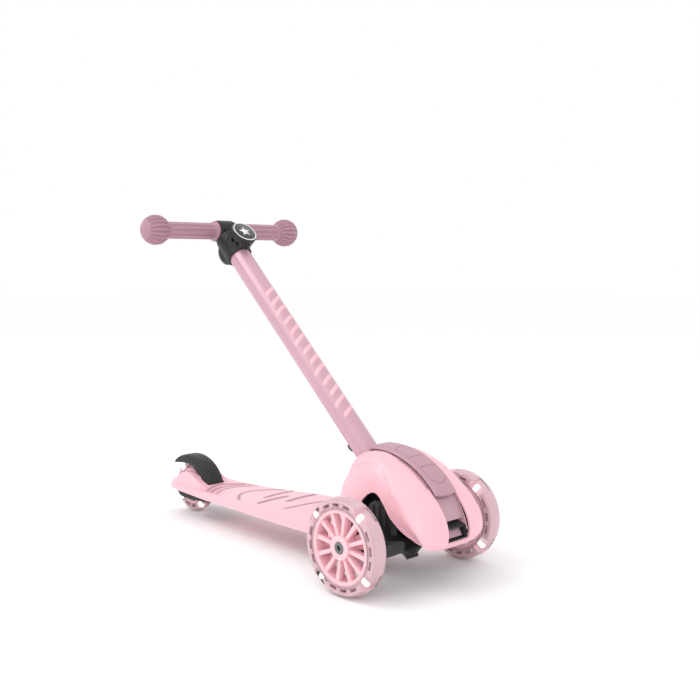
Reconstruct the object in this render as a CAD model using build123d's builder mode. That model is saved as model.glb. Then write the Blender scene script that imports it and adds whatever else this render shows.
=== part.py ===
"""Three-wheeled lean-to-steer kick scooter for a small child, with a folding, height-adjustable stem.

Millimetres, +Z up, rider faces -Y, origin on the floor under the middle of the scooter.
The stem stands part folded: every joint value is zero in this pose.
"""
from build123d import *
from math import cos, radians, sin
import os

os.makedirs("parts", exist_ok=True)

# ---- overall sizes -------------------------------------------------------------------------------
wheelbase = 457.0
track = 215.6              # between the middle planes of the front wheels
front_wheel_r = 60.0
front_wheel_w = 24.7
rear_wheel_r = 40.0
rear_wheel_w = 20.0
nose_reach = 87.0          # cowl nose ahead of the front axle
fender_reach = 37.0        # fender tip behind the rear axle
tail_reach = 26.0          # deck tail behind the rear axle
stem_length = 512.6        # fold pin to handlebar axis
stem_lean = 46.1           # back from the vertical, in the part-folded pose
bar_span = 239.8           # between the centres of the two ball ends

# ---- clearances ----------------------------------------------------------------------------------
running = 0.05             # radial, shafts that turn or slide
side_gap = 0.4             # between faces of different bodies
seat_gap = 0.02            # between pieces fixed together

# ---- where things stand --------------------------------------------------------------------------
front_axle_y = (nose_reach - wheelbase - fender_reach) / 2
rear_axle_y = front_axle_y + wheelbase
tail_y = rear_axle_y + tail_reach
pivot_y = front_axle_y + 5.0
pivot_z = 86.7
lean = radians(stem_lean)
stem = Plane(origin=(0, pivot_y, pivot_z), x_dir=(1, 0, 0), z_dir=(0, sin(lean), cos(lean)))

# ---- deck ----------------------------------------------------------------------------------------
deck_half_w = 56.0
deck_bottom_z = 40.0
deck_front_z = 60.0
deck_rear_z = 48.0
deck_wall = 3.5
deck_start_y = front_axle_y + 48.0
deck_flat_end_y = front_axle_y + 200.0
slot_half_w = rear_wheel_w / 2 + 6.0
slot_start_y = rear_axle_y - rear_wheel_r - 17.0
hump_half_w = slot_half_w + 11.0
boss_seat_r = 9.5
cradle_head_x = slot_half_w + 8.0
brake_pin_y = rear_axle_y - 50.0
brake_pin_z = 50.5
brake_pin_r = 2.0
bracket_tail_y = front_axle_y + 80.0
inlay_depth = 1.2
inlay_proud = 0.3

# ---- cowl ----------------------------------------------------------------------------------------
cowl_wall = 2.6
cowl_slot_half_w = 20.0
shield_c_y = front_axle_y + 30.0     # middle of the shield's arc
shield_c_z = 40.0
shield_r = 125.0                     # crown of the shield
shield_in_r = 118.0
shield_half_w = 19.2
flange_half_w = 23.0
flange_t = 1.5
panel_r = 115.6
panel_t = 2.6

# ---- steering ------------------------------------------------------------------------------------
kingpin_tilt = radians(50.0)         # from the horizontal, rising forwards
kingpin_r = 4.0
boss_r = 13.0
boss_half_l = 11.0
bush_t = 4.0
ear_t = 4.0
steer = Plane(
    origin=(0, front_axle_y - 12.0, 47.0),
    x_dir=(1, 0, 0),
    z_dir=(0, -cos(kingpin_tilt), sin(kingpin_tilt)),
)

# ---- wheels, axles -------------------------------------------------------------------------------
axle_r = 4.0
bearing_r = 11.0
bearing_w = 7.0
hub_r = 15.0
spoke_count = 12
spoke_w = 5.2
tyre_depth = 14.0
rim_r = front_wheel_r - tyre_depth
rim_in_r = rim_r - 5.1
rear_hub_r = 14.0
rear_tyre_depth = 11.0
rear_rim_r = rear_wheel_r - rear_tyre_depth
rear_rim_in_r = rear_rim_r - 5.0
arm_face_x = track / 2 - front_wheel_w / 2 - 2.6
bolt_head_r = 7.0
bolt_head_t = 4.0

# ---- stem ----------------------------------------------------------------------------------------
tube_r = 16.0
tube_wall = 1.5
post_r = 12.7
post_wall = 2.0
knuckle_r = 15.0
knuckle_half_w = 15.0
cheek_t = 4.0
fold_pin_r = 5.0
bracket_half_w = knuckle_half_w + side_gap + cheek_t
foot_top = 52.0            # distances from the fold pin along the stem
post_top = 280.0
tube_bottom = 54.0
bush_l = 30.0
button_d = 112.0
button_half_h = 7.0
button_half_w = 6.0
button_proud = 4.6
button_travel = 2.5
height_travel = 65.0
groove_depth = 1.4

# ---- handlebar -----------------------------------------------------------------------------------
bar_r = 9.5
grip_r = 12.3
collar_r = 14.8
collar_w = 5.0
ball_r = 21.5
clamp_half_w = 14.0
clamp_bar_r = 16.5
clamp_stem_r = 19.5
clamp_bottom = 457.0
bar_axis = Plane(origin=stem.from_local_coords(Vector(0, 0, stem_length)), x_dir=(0, 1, 0), z_dir=(1, 0, 0))


def rel(y, z):
    """A point of the side view, given from the front axle's line."""
    return (front_axle_y + y, z)


def rear_rel(y, z):
    """A point of the side view, given from the rear axle's line."""
    return (rear_axle_y + y, z)


def across(y, z, x=0.0):
    """A plane whose normal is +X, with its origin at a side-view point."""
    return Plane(origin=(x, y, z), x_dir=(0, 1, 0), z_dir=(1, 0, 0))


# ==== deck ========================================================================================
def deck_top_line(drop=0.0, end_y=tail_y):
    """The deck's top edge in side view, lowered by drop; drawn inside a BuildLine."""
    flat_end = (deck_flat_end_y, deck_front_z - drop)
    Line((deck_start_y, deck_front_z - drop), flat_end)
    third = (end_y - deck_flat_end_y) / 3
    step = deck_front_z - deck_rear_z
    Spline(
        flat_end,
        (deck_flat_end_y + third, deck_front_z - 0.62 * step - drop),
        (deck_flat_end_y + 2 * third, deck_front_z - 0.92 * step - drop),
        (end_y, deck_rear_z - drop),
    )


with BuildPart() as deck_band:
    with BuildSketch(Plane.YZ):
        with BuildLine():
            deck_top_line(inlay_depth)
            Line((tail_y, deck_rear_z - inlay_depth), (tail_y, deck_rear_z + inlay_proud))
            deck_top_line(-inlay_proud)
            Line((deck_start_y, deck_front_z - inlay_depth), (deck_start_y, deck_front_z + inlay_proud))
        make_face()
    extrude(amount=deck_half_w, both=True)

inlay_bar = 5.0


def inlay_arc(mid_y, half_w, sag, width=inlay_bar):
    """A curved bar across the deck: its middle at mid_y, its ends sag further forward."""
    radius = (half_w**2 + sag**2) / (2 * sag)
    with BuildLine(mode=Mode.PRIVATE) as path:
        RadiusArc((-half_w, mid_y - sag), (half_w, mid_y - sag), radius)
    with Locations((0, 0)):
        trace(path.line, line_width=width)


def inlay_slash(x0, y0, x1, y1, width):
    """A straight bar between two points of the deck's plan."""
    with BuildLine(mode=Mode.PRIVATE) as path:
        Line((x0, y0), (x1, y1))
    with Locations((0, 0)):
        trace(path.line, line_width=width)


with BuildPart() as deck_grip:
    with BuildSketch(Plane.XY.offset(deck_bottom_z)):
        inlay_arc(rear_axle_y - 62, 38, 20)
        inlay_arc(rear_axle_y - 74, 40, 21)
        inlay_arc(rear_axle_y - 88, 40, 22, 0.6 * inlay_bar)
        inlay_arc(front_axle_y + 324, 44, 38)
        inlay_slash(-16, front_axle_y + 266, 46, front_axle_y + 270, 9)
        inlay_slash(-48, front_axle_y + 240, 14, front_axle_y + 244, 10)
        inlay_slash(-18, front_axle_y + 214, 44, front_axle_y + 218, 9)
        inlay_slash(-48, front_axle_y + 184, 40, front_axle_y + 170, 0.8 * inlay_bar)
    extrude(amount=deck_front_z - deck_bottom_z + 5)
    add(deck_band.part, mode=Mode.INTERSECT)

with BuildPart() as deck_shell:
    with BuildSketch(Plane.YZ):
        with BuildLine():
            deck_top_line()
            Line((tail_y, deck_rear_z), (tail_y, deck_bottom_z))
            Line((tail_y, deck_bottom_z), (deck_start_y, deck_bottom_z))
            Line((deck_start_y, deck_bottom_z), (deck_start_y, deck_front_z))
        make_face()
    extrude(amount=deck_half_w, both=True)
    with BuildSketch(Plane.XY.offset(deck_bottom_z)):
        with BuildLine():
            front = (deck_half_w - 6, deck_start_y)
            wide = (deck_half_w, front_axle_y + 130)
            waist = (deck_half_w - 8, rear_axle_y - 60)
            tail = (deck_half_w - 26, tail_y)
            Line((0, deck_start_y), front)
            Spline(front, wide, waist, (deck_half_w - 8, rear_axle_y - 10), tail, tangents=[(0.1, 1), (-1, 0.1)])
            Line(tail, (0, tail_y))
            mirror(about=Plane.YZ)
        make_face()
    extrude(amount=deck_front_z - deck_bottom_z, mode=Mode.INTERSECT)
    for x_side in (-1, 1):
        with BuildSketch(across(rear_axle_y, 0, x_side * (slot_half_w + hump_half_w) / 2)):
            with BuildLine():
                back = (-68, deck_rear_z - 0.5)
                end = (tail_reach - 0.5, deck_rear_z - 1)
                Spline(back, (-45, 56), (-24, 66.5), (-10, 67.5), (8, 60.5), end)
                Polyline(end, (tail_reach - 0.5, deck_bottom_z + 3), (-68, deck_bottom_z + 3), back)
            make_face()
        extrude(amount=(hump_half_w - slot_half_w) / 2, both=True)
    with BuildSketch(Plane.XY.offset(deck_bottom_z)):
        with Locations((0, slot_start_y + 50)):
            Rectangle(2 * slot_half_w, 100)
    extrude(amount=40, mode=Mode.SUBTRACT)
    # seats for the axle bosses of the cradle, the brake pin and the fold bracket's tail
    with BuildSketch(across(rear_axle_y, rear_wheel_r)):
        Circle(boss_seat_r + seat_gap)
        with Locations((0, -boss_seat_r)):
            Rectangle(2 * (boss_seat_r + seat_gap), 2 * boss_seat_r)
    extrude(amount=cradle_head_x, both=True, mode=Mode.SUBTRACT)
    with BuildSketch(across(brake_pin_y, brake_pin_z)):
        Circle(brake_pin_r + seat_gap)
    extrude(amount=hump_half_w + 5, both=True, mode=Mode.SUBTRACT)
    with BuildSketch(Plane.XY.offset(deck_bottom_z)):
        with Locations((0, (deck_start_y + bracket_tail_y) / 2)):
            Rectangle(2 * (bracket_half_w + seat_gap), bracket_tail_y - deck_start_y + 2 * seat_gap)
    extrude(amount=40, mode=Mode.SUBTRACT)
    # ribbed hollow under the tread
    pocket_count = 5
    pocket_start_y = bracket_tail_y + 4
    pocket_pitch = (slot_start_y - 10 - pocket_start_y) / pocket_count
    for index in range(pocket_count):
        middle_y = pocket_start_y + (index + 0.5) * pocket_pitch
        along = max(0.0, (middle_y + pocket_pitch / 2 - deck_flat_end_y) / (tail_y - deck_flat_end_y))
        roof_z = deck_front_z - (deck_front_z - deck_rear_z) * min(1.0, 1.9 * along) - deck_wall - inlay_depth
        with BuildSketch(Plane.XY.offset(deck_bottom_z)):
            with Locations((-30, middle_y), (0, middle_y), (30, middle_y)):
                Rectangle(26, pocket_pitch - 4)
        extrude(amount=max(2.0, roof_z - deck_bottom_z), mode=Mode.SUBTRACT)
    add(deck_grip.part, mode=Mode.SUBTRACT)
deck_shell.part.label = "deck_shell"
export_step(deck_shell.part, "parts/deck_shell.step")
deck_grip.part.label = "deck_grip_inlays"
export_step(deck_grip.part, "parts/deck_grip_inlays.step")

# ==== cowl ========================================================================================
# Level slices of the cowl: height, front and rear reach from the front axle, half width, corner.
cowl_slices = [
    (47, -64, 96, 52, 38),
    (56, -80, 99, 64, 46),
    (68, -86, 99, 71, 52),
    (84, -85, 98, 71, 52),
    (100, -77, 94, 66, 50),
    (115, -64, 89, 60, 46),
    (128, -50, 82, 54, 40),
    (139, -37, 74, 47, 34),
    (148, -21, 66, 39, 27),
    (155, -3, 55, 30, 20),
    (159.5, 14, 42, 14, 9),
]
belly_low_z = 60.0
belly_high_z = 90.0


def cowl_body(inset=0.0):
    """The cowl's outer form, or the same form a wall thickness inside it."""
    with BuildPart(mode=Mode.PRIVATE) as body:
        for height, front, rear, half_w, corner in cowl_slices:
            # the wall leans out below the belly and in above it
            shift = inset if height < belly_low_z else 0.0 if height < belly_high_z else -inset
            with BuildSketch(Plane.XY.offset(height + shift)):
                with Locations((0, front_axle_y + (front + rear) / 2)):
                    RectangleRounded(2 * (half_w - inset), rear - front - 2 * inset, corner - inset)
        loft()
    return body.part


def arc_band(inner_r, outer_r, start_deg, end_deg, half_w):
    """A curved plate about the shield's axis; angles run from +Y over the top to the nose."""
    with BuildPart(mode=Mode.PRIVATE) as band:
        with BuildSketch(across(shield_c_y, shield_c_z)):
            with BuildLine():
                outer = CenterArc((0, 0), outer_r, start_deg, end_deg - start_deg)
                inner = CenterArc((0, 0), inner_r, start_deg, end_deg - start_deg)
                Line(outer @ 0, inner @ 0)
                Line(outer @ 1, inner @ 1)
            make_face()
        extrude(amount=half_w, both=True)
    return band.part


arch_inner_x = 40.0
box_half_w = 16.0
box_wall = 1.6
box_low_z = 63.5
box_high_z = 82.0
box_front_y = front_axle_y - 79.0
box_back_y = front_axle_y - 58.0
box_lip_z = 76.0            # roof at the pocket's mouth, under the shield's sweep
shank_w = 8.0               # the tongue's shank, through the box's back wall
shank_h = 6.0
shank_z = box_low_z + 9.3
chin_t = 3.0
chin_end = -40.0            # from the front axle
chin_open_half = 62.0

with BuildPart() as front_cowl:
    add(cowl_body())
    # hollow, open below behind the chin
    with BuildPart(mode=Mode.PRIVATE) as hollow:
        add(cowl_body(cowl_wall))
        with BuildSketch(Plane.XY.offset(cowl_slices[0][0] + chin_t)):
            with Locations((0, front_axle_y)):
                Rectangle(200, 300)
        extrude(amount=200, mode=Mode.INTERSECT)
        with BuildSketch(Plane.XY.offset(cowl_slices[0][0] - 5)):
            with Locations((0, front_axle_y + chin_end + chin_open_half)):
                Rectangle(2 * (cowl_slices[1][3] - 12), 2 * chin_open_half)
        extrude(amount=20)
    add(hollow.part, mode=Mode.SUBTRACT)
    # rear edge stands on the deck, sides rise over the steering arms
    with BuildSketch(Plane.YZ):
        with BuildLine():
            Polyline(rel(140, 30), rel(140, deck_front_z), rel(44, deck_front_z), rel(44, 30), rel(140, 30))
        make_face()
    extrude(amount=100, both=True, mode=Mode.SUBTRACT)
    for x_side in (-1, 1):
        with BuildSketch(Plane.YZ.offset(x_side * (arch_inner_x + 40))):
            with BuildLine():
                arch = Spline(
                    rel(-56, 60), rel(-38, 71), rel(-24, 86), rel(-16, 100), rel(-6, 111),
                    rel(6, 115), rel(20, 107), rel(34, 84), rel(44, deck_front_z),
                )
                Polyline(arch @ 1, rel(44, 40), rel(-62, 40), arch @ 0)
            make_face()
        extrude(amount=40, both=True, mode=Mode.SUBTRACT)
    # slot for the stem and the shield, with curved guide grooves for the shield's flanges
    with BuildSketch(Plane.YZ):
        with BuildLine():
            Polyline(
                rel(-100, box_low_z - box_wall - 1), rel(120, box_low_z - box_wall - 1),
                rel(120, 180), rel(-100, 180), rel(-100, box_low_z - box_wall - 1),
            )
        make_face()
    extrude(amount=cowl_slot_half_w, both=True, mode=Mode.SUBTRACT)
    groove_r = shield_in_r - flange_t
    groove_half_w = flange_half_w + side_gap
    add(arc_band(groove_r - side_gap, shield_in_r + side_gap, 40, 163, groove_half_w), mode=Mode.SUBTRACT)
front_cowl.part.label = "front_cowl"
export_step(front_cowl.part, "parts/front_cowl.step")

with BuildPart() as slot_panel:
    add(arc_band(panel_r - panel_t, panel_r, 108, 156.5, cowl_slot_half_w - seat_gap))
slot_panel.part.label = "slot_panel"
export_step(slot_panel.part, "parts/slot_panel.step")

with BuildPart() as latch_box:
    with BuildSketch(Plane.YZ):
        with BuildLine():
            Polyline(
                (box_front_y - 3, box_low_z - box_wall), (box_back_y, box_low_z - box_wall),
                (box_back_y, box_high_z + box_wall), (box_front_y, box_lip_z + box_wall),
                (box_front_y - 3, box_low_z - box_wall),
            )
        make_face()
    extrude(amount=cowl_slot_half_w - seat_gap, both=True)
    with BuildSketch(Plane.YZ):
        with BuildLine():
            Polyline(
                (box_front_y - 10, box_low_z), (box_back_y - box_wall, box_low_z),
                (box_back_y - box_wall, box_high_z), (box_front_y, box_lip_z),
                (box_front_y - 10, box_lip_z), (box_front_y - 10, box_low_z),
            )
        make_face()
    extrude(amount=box_half_w, both=True, mode=Mode.SUBTRACT)
    # window for the tongue's shank
    with BuildSketch(Plane.XZ.offset(-(box_back_y + 1))):
        with Locations((0, shank_z)):
            Rectangle(shank_w + 0.8, shank_h + 0.8)
    extrude(amount=6, mode=Mode.SUBTRACT)
latch_box.part.label = "latch_box"
export_step(latch_box.part, "parts/latch_box.step")

tongue_half_w = box_half_w - 1.2
tongue_travel = 3.0
with BuildPart() as latch_tongue:
    with BuildSketch(Plane.YZ):
        with BuildLine():
            Polyline(
                (box_front_y + 1.5, box_low_z + 1.4), (box_back_y - box_wall - 4.5, box_low_z + 1.4),
                (box_back_y - box_wall - 4.5, box_high_z - 3.5), (box_front_y + 7, box_lip_z - 1.5),
                (box_front_y + 1.5, box_low_z + 1.4),
            )
        make_face()
    extrude(amount=tongue_half_w, both=True)
    with BuildSketch(Plane.XZ.offset(-(box_back_y - box_wall - 5))):
        with Locations((0, shank_z)):
            Rectangle(shank_w, shank_h)
    extrude(amount=-12)
latch_tongue.part.label = "latch_tongue"
export_step(latch_tongue.part, "parts/latch_tongue.step")

def coil(seat, radius, pitch, height, wire_r):
    """A coil spring that rises along the seat plane's normal."""
    with BuildPart(mode=Mode.PRIVATE) as spring:
        with BuildLine() as turns:
            Helix(pitch=pitch, height=height, radius=radius)
        with BuildSketch(Plane(origin=turns.line @ 0, z_dir=turns.line % 0)):
            Circle(wire_r)
        sweep(is_frenet=True)
    return spring.part.moved(seat.location)


latch_spring_seat = Plane(
    origin=(0, box_back_y - box_wall - 3.9, shank_z), x_dir=(1, 0, 0), z_dir=(0, 1, 0)
)
with BuildPart() as latch_spring:
    add(coil(latch_spring_seat, 6.4, 1.3, 3.2, 0.4))
latch_spring.part.label = "latch_spring"
export_step(latch_spring.part, "parts/latch_spring.step")

# ==== fold bracket, kingpin =======================================================================
ear_inner = boss_half_l + bush_t + side_gap
ear_outer = ear_inner + ear_t
web_inner = boss_r + 3.0
web_outer = web_inner + 5.0

with BuildPart() as fold_bracket:
    # C-shaped steering yoke, drawn across the kingpin
    steer_side = Plane(origin=steer.origin, x_dir=steer.y_dir, z_dir=(1, 0, 0))
    with BuildSketch(steer_side):
        with BuildLine():
            Polyline(
                (-boss_r, ear_inner), (web_inner, ear_inner), (web_inner, -ear_inner), (-boss_r, -ear_inner),
                (-boss_r, -ear_outer), (web_outer, -ear_outer), (web_outer, ear_outer), (-boss_r, ear_outer),
                (-boss_r, ear_inner),
            )
        make_face()
    extrude(amount=10, both=True)
    # saddle that reaches back to the deck and up to the cheeks
    with BuildSketch(Plane.YZ):
        with BuildLine():
            tail_low = (bracket_tail_y, deck_bottom_z + 1)
            tail_high = (bracket_tail_y, deck_front_z - 1)
            Polyline(rel(4, 56), rel(8, 41), tail_low, tail_high, rel(44, 59), rel(30, 67), rel(4, 67), rel(4, 56))
        make_face()
    extrude(amount=bracket_half_w, both=True)
    with BuildSketch(Plane.YZ):
        with BuildLine():
            Polyline(
                rel(-12, 67), rel(34, 67), (pivot_y + knuckle_r - 2, pivot_z + 4), (pivot_y + 8, pivot_z + 12),
                (pivot_y - 8, pivot_z + 12), (pivot_y - knuckle_r + 2, pivot_z + 4), rel(-12, 67),
            )
        make_face()
    extrude(amount=bracket_half_w, both=True)
    # room for the knuckle between the cheeks
    with BuildSketch(across(pivot_y, pivot_z)):
        Circle(knuckle_r + 1.0)
        with Locations((10, 25 - knuckle_r - 1)):
            Rectangle(70, 50)
    extrude(amount=knuckle_half_w + side_gap, both=True, mode=Mode.SUBTRACT)
    # sweep of the steering boss and its arms
    with BuildSketch(steer.offset(-ear_inner)):
        Circle(boss_r + 2.6)
    extrude(amount=2 * ear_inner, mode=Mode.SUBTRACT)
    with BuildSketch(across(pivot_y, pivot_z)):
        Circle(fold_pin_r + seat_gap)
    extrude(amount=40, both=True, mode=Mode.SUBTRACT)
    with BuildSketch(steer.offset(-40)):
        Circle(kingpin_r + seat_gap)
    extrude(amount=80, mode=Mode.SUBTRACT)
fold_bracket.part.label = "fold_bracket"
export_step(fold_bracket.part, "parts/fold_bracket.step")

with BuildPart() as fold_pin:
    with BuildSketch(across(pivot_y, pivot_z, -bracket_half_w - 3)):
        Circle(fold_pin_r + 3)
    extrude(amount=3 - seat_gap)
    with BuildSketch(across(pivot_y, pivot_z, -bracket_half_w - seat_gap)):
        Circle(fold_pin_r)
    extrude(amount=2 * bracket_half_w + 3.5)
    with BuildSketch(across(pivot_y, pivot_z, bracket_half_w + seat_gap)):
        Circle(fold_pin_r + 2.5)
    extrude(amount=1.5)
fold_pin.part.label = "fold_pin"
export_step(fold_pin.part, "parts/fold_pin.step")

with BuildPart() as kingpin:
    with BuildSketch(steer.offset(-ear_outer - 6)):
        Circle(kingpin_r)
    extrude(amount=2 * ear_outer + 6 + seat_gap)
    with BuildSketch(steer.offset(ear_outer + seat_gap)):
        RegularPolygon(radius=6.6, side_count=6)
    extrude(amount=4)
kingpin.part.label = "kingpin"
export_step(kingpin.part, "parts/kingpin.step")

with BuildPart() as kingpin_nut:
    with BuildSketch(steer.offset(-ear_outer - 5 - seat_gap)):
        RegularPolygon(radius=6.6, side_count=6)
        Circle(kingpin_r + seat_gap, mode=Mode.SUBTRACT)
    extrude(amount=5)
kingpin_nut.part.label = "kingpin_nut"
export_step(kingpin_nut.part, "parts/kingpin_nut.step")

# ==== steering truck ==============================================================================
arm_inner_x = 34.0
web_inner_x = 40.0
web_t = 10.0
with BuildPart() as axle_carrier:
    with BuildSketch(steer.offset(-boss_half_l)):
        Circle(boss_r)
    extrude(amount=2 * boss_half_l)
    # cross beam through the boss
    with BuildSketch(Plane.YZ):
        with BuildLine():
            Polyline(rel(-25, 43), rel(-15, 38), rel(-5, 40), rel(-2, 50), rel(-8, 58), rel(-16, 56), rel(-25, 43))
        make_face()
    extrude(amount=arm_inner_x + 6, both=True)
    # deep side arms that carry the wheels
    for x_side in (-1, 1):
        with BuildSketch(Plane.YZ.offset(x_side * arm_inner_x)):
            with BuildLine():
                Polyline(
                    rel(-26, 42), rel(-12, 38), rel(2, 44), rel(10, 58), rel(4, 68), rel(-12, 68), rel(-26, 56),
                    rel(-26, 42),
                )
            make_face()
        with BuildSketch(Plane.YZ.offset(x_side * (arm_face_x - 6))):
            with BuildLine():
                Polyline(
                    rel(-38, 47), rel(-12, 42), rel(12, 46), rel(20, 62), rel(12, 80), rel(-12, 86), rel(-32, 68),
                    rel(-38, 47),
                )
            make_face()
        loft()
        with BuildSketch(Plane.YZ.offset(x_side * (arm_face_x - 6.5))):
            with Locations(rel(0, front_wheel_r)):
                Circle(17)
        extrude(amount=x_side * 6.5)
        with BuildSketch(Plane.YZ.offset(x_side * (arm_face_x - 0.5))):
            with Locations(rel(0, front_wheel_r)):
                Circle(6.5)
        extrude(amount=x_side * (2.6 + 0.5 + 1.0 - 0.15))
    # upright webs that fill the cowl's arches
    for x_side in (-1, 1):
        with BuildSketch(Plane.YZ.offset(x_side * web_inner_x)):
            with BuildLine():
                Polyline(
                    rel(-20, 60), rel(-20, 86), rel(-14, 99), rel(-4, 104), rel(8, 104), rel(17, 98),
                    rel(23, 84), rel(20, 60), rel(-20, 60),
                )
            make_face()
        extrude(amount=x_side * web_t)
    with BuildSketch(steer.offset(-40)):
        Circle(kingpin_r + running)
    extrude(amount=80, mode=Mode.SUBTRACT)
    with BuildSketch(Plane.YZ):
        with Locations(rel(0, front_wheel_r)):
            Circle(axle_r + seat_gap)
    extrude(amount=200, both=True, mode=Mode.SUBTRACT)
    # hollow underside of each arm
    for x_side in (-1, 1):
        with BuildSketch(Plane.YZ.offset(x_side * 46)):
            with Locations(rel(-8, front_wheel_r)):
                Circle(9)
        extrude(amount=x_side * 26, mode=Mode.SUBTRACT)
axle_carrier.part.label = "axle_carrier"
export_step(axle_carrier.part, "parts/axle_carrier.step")

with BuildPart() as steering_bushes:
    for low in (-boss_half_l - bush_t, boss_half_l):
        with BuildSketch(steer.offset(low)):
            Circle(boss_r - 2)
            Circle(kingpin_r + 0.3, mode=Mode.SUBTRACT)
        extrude(amount=bush_t)
steering_bushes.part.label = "steering_bushes"
export_step(steering_bushes.part, "parts/steering_bushes.step")

# ==== front wheels ================================================================================
hub_in_x = track / 2 - front_wheel_w / 2 + 1.0
hub_out_x = track / 2 + front_wheel_w / 2 - 1.0
led_angles = (38, 128, 218, 308)
rear_led_angles = (50, 140, 230, 320)
led_half_w = 3.5


def wheel_core(axis_y, axis_z, x_in, x_out, hub_radius, rim_inner, rim_outer, side):
    """Spoked core with two bearing seats; side is -1 for the rider's right, +1 for the left."""
    width = x_out - x_in
    middle = side * (x_in + x_out) / 2
    with BuildPart(mode=Mode.PRIVATE) as core:
        with BuildSketch(across(axis_y, axis_z, middle)):
            Circle(rim_outer)
            Circle(rim_inner, mode=Mode.SUBTRACT)
        extrude(amount=width / 2 - 1, both=True)
        with BuildSketch(across(axis_y, axis_z, middle)):
            Circle(hub_radius)
            with PolarLocations((hub_radius + rim_inner) / 2, spoke_count, start_angle=8):
                Rectangle(rim_inner - hub_radius + 2, spoke_w)
        extrude(amount=width / 2 - 3.5, both=True)
        with BuildSketch(across(axis_y, axis_z, middle)):
            Circle(hub_radius)
        extrude(amount=width / 2, both=True)
        with BuildSketch(across(axis_y, axis_z, middle)):
            Circle(bearing_r)
        extrude(amount=width, both=True, mode=Mode.SUBTRACT)
        with BuildSketch(across(axis_y, axis_z, middle)):
            Circle(bearing_r + 1)
            Circle(bearing_r - 2, mode=Mode.SUBTRACT)
        extrude(amount=width / 2 - bearing_w, both=True)
    return core.part


def tyre_ring(axis_y, axis_z, middle, inner_r, outer_r, width, crown):
    """A tyre with rounded shoulders, cast round the core's rim."""
    half = width / 2
    with BuildPart(mode=Mode.PRIVATE) as ring:
        with BuildSketch(Plane.XY):
            with BuildLine():
                base = Line((middle - half + 2, inner_r), (middle + half - 2, inner_r))
                wall_b = Line(base @ 1, (middle + half, inner_r + 3))
                shoulder_b = Line(wall_b @ 1, (middle + half, outer_r - crown))
                tread = ThreePointArc(shoulder_b @ 1, (middle, outer_r), (middle - half, outer_r - crown))
                wall_a = Line(tread @ 1, (middle - half, inner_r + 3))
                Line(wall_a @ 1, base @ 0)
            make_face()
        revolve(axis=Axis.X)
    return ring.part.moved(Location((0, axis_y, axis_z)))


def led_blocks(axis_y, axis_z, middle, inner_r, outer_r, half_w, half_x, angles):
    """Light blocks let into the tyre's inner half."""
    with BuildPart(mode=Mode.PRIVATE) as blocks:
        with BuildSketch(across(axis_y, axis_z, middle)):
            for angle in angles:
                with PolarLocations((inner_r + outer_r) / 2, 1, start_angle=angle):
                    Rectangle(outer_r - inner_r, 2 * half_w)
        extrude(amount=half_x, both=True)
    return blocks.part


def bearing_pair(axis_y, axis_z, x_in, x_out, side):
    """Two ball bearings flush with the hub's ends."""
    with BuildPart(mode=Mode.PRIVATE) as pair:
        for start in (x_in, x_out - bearing_w):
            with BuildSketch(across(axis_y, axis_z, side * (start + bearing_w / 2))):
                Circle(bearing_r - seat_gap)
                Circle(axle_r + running, mode=Mode.SUBTRACT)
            extrude(amount=bearing_w / 2, both=True)
    return pair.part


def bearing_spacer(axis_y, axis_z, x_in, x_out, side):
    """Sleeve on the axle between the two bearings."""
    with BuildPart(mode=Mode.PRIVATE) as sleeve:
        with BuildSketch(across(axis_y, axis_z, side * (x_in + x_out) / 2)):
            Circle(axle_r + 2)
            Circle(axle_r + running, mode=Mode.SUBTRACT)
        extrude(amount=(x_out - x_in) / 2 - bearing_w, both=True)
    return sleeve.part


for side, word in ((-1, "right"), (1, "left")):
    axis = (front_axle_y, front_wheel_r)
    middle_x = side * track / 2
    leds = led_blocks(*axis, middle_x, rim_r + 1.0, rim_r + 9.5, led_half_w, 5.0, led_angles)
    with BuildPart() as core:
        add(wheel_core(*axis, hub_in_x, hub_out_x, hub_r, rim_in_r, rim_r, side))
    core.part.label = f"front_wheel_core_{word}"
    export_step(core.part, f"parts/front_wheel_core_{word}.step")
    with BuildPart() as tyre:
        add(tyre_ring(*axis, middle_x, rim_r, front_wheel_r, front_wheel_w, 7.0))
        add(leds, mode=Mode.SUBTRACT)
    tyre.part.label = f"front_tyre_{word}"
    export_step(tyre.part, f"parts/front_tyre_{word}.step")
    with BuildPart() as led_group:
        add(leds)
    led_group.part.label = f"front_wheel_leds_{word}"
    export_step(led_group.part, f"parts/front_wheel_leds_{word}.step")
    with BuildPart() as bearings:
        add(bearing_pair(*axis, hub_in_x, hub_out_x, side))
    bearings.part.label = f"front_bearings_{word}"
    export_step(bearings.part, f"parts/front_bearings_{word}.step")
    with BuildPart() as spacer:
        add(bearing_spacer(*axis, hub_in_x, hub_out_x, side))
    spacer.part.label = f"front_spacer_{word}"
    export_step(spacer.part, f"parts/front_spacer_{word}.step")
    with BuildPart() as axle_bolt:
        with BuildSketch(across(*axis, side * (arm_inner_x + 40))):
            Circle(axle_r)
        extrude(amount=side * (hub_out_x + 0.2 - arm_inner_x - 40))
        with BuildSketch(across(*axis, side * (hub_out_x + 0.2))):
            Circle(bolt_head_r)
        extrude(amount=side * bolt_head_t)
        with BuildSketch(across(*axis, side * (hub_out_x + 0.2 + bolt_head_t))):
            RegularPolygon(radius=3.2, side_count=6)
        extrude(amount=-side * 2.2, mode=Mode.SUBTRACT)
    axle_bolt.part.label = f"front_axle_bolt_{word}"
    export_step(axle_bolt.part, f"parts/front_axle_bolt_{word}.step")

# ==== rear wheel, cradle, brake ===================================================================
rear_hub_x = rear_wheel_w / 2 - 1.0
plate_in_x = rear_wheel_w / 2 + 2.4
plate_out_x = slot_half_w + 4.0
rear_axis = (rear_axle_y, rear_wheel_r)

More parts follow.
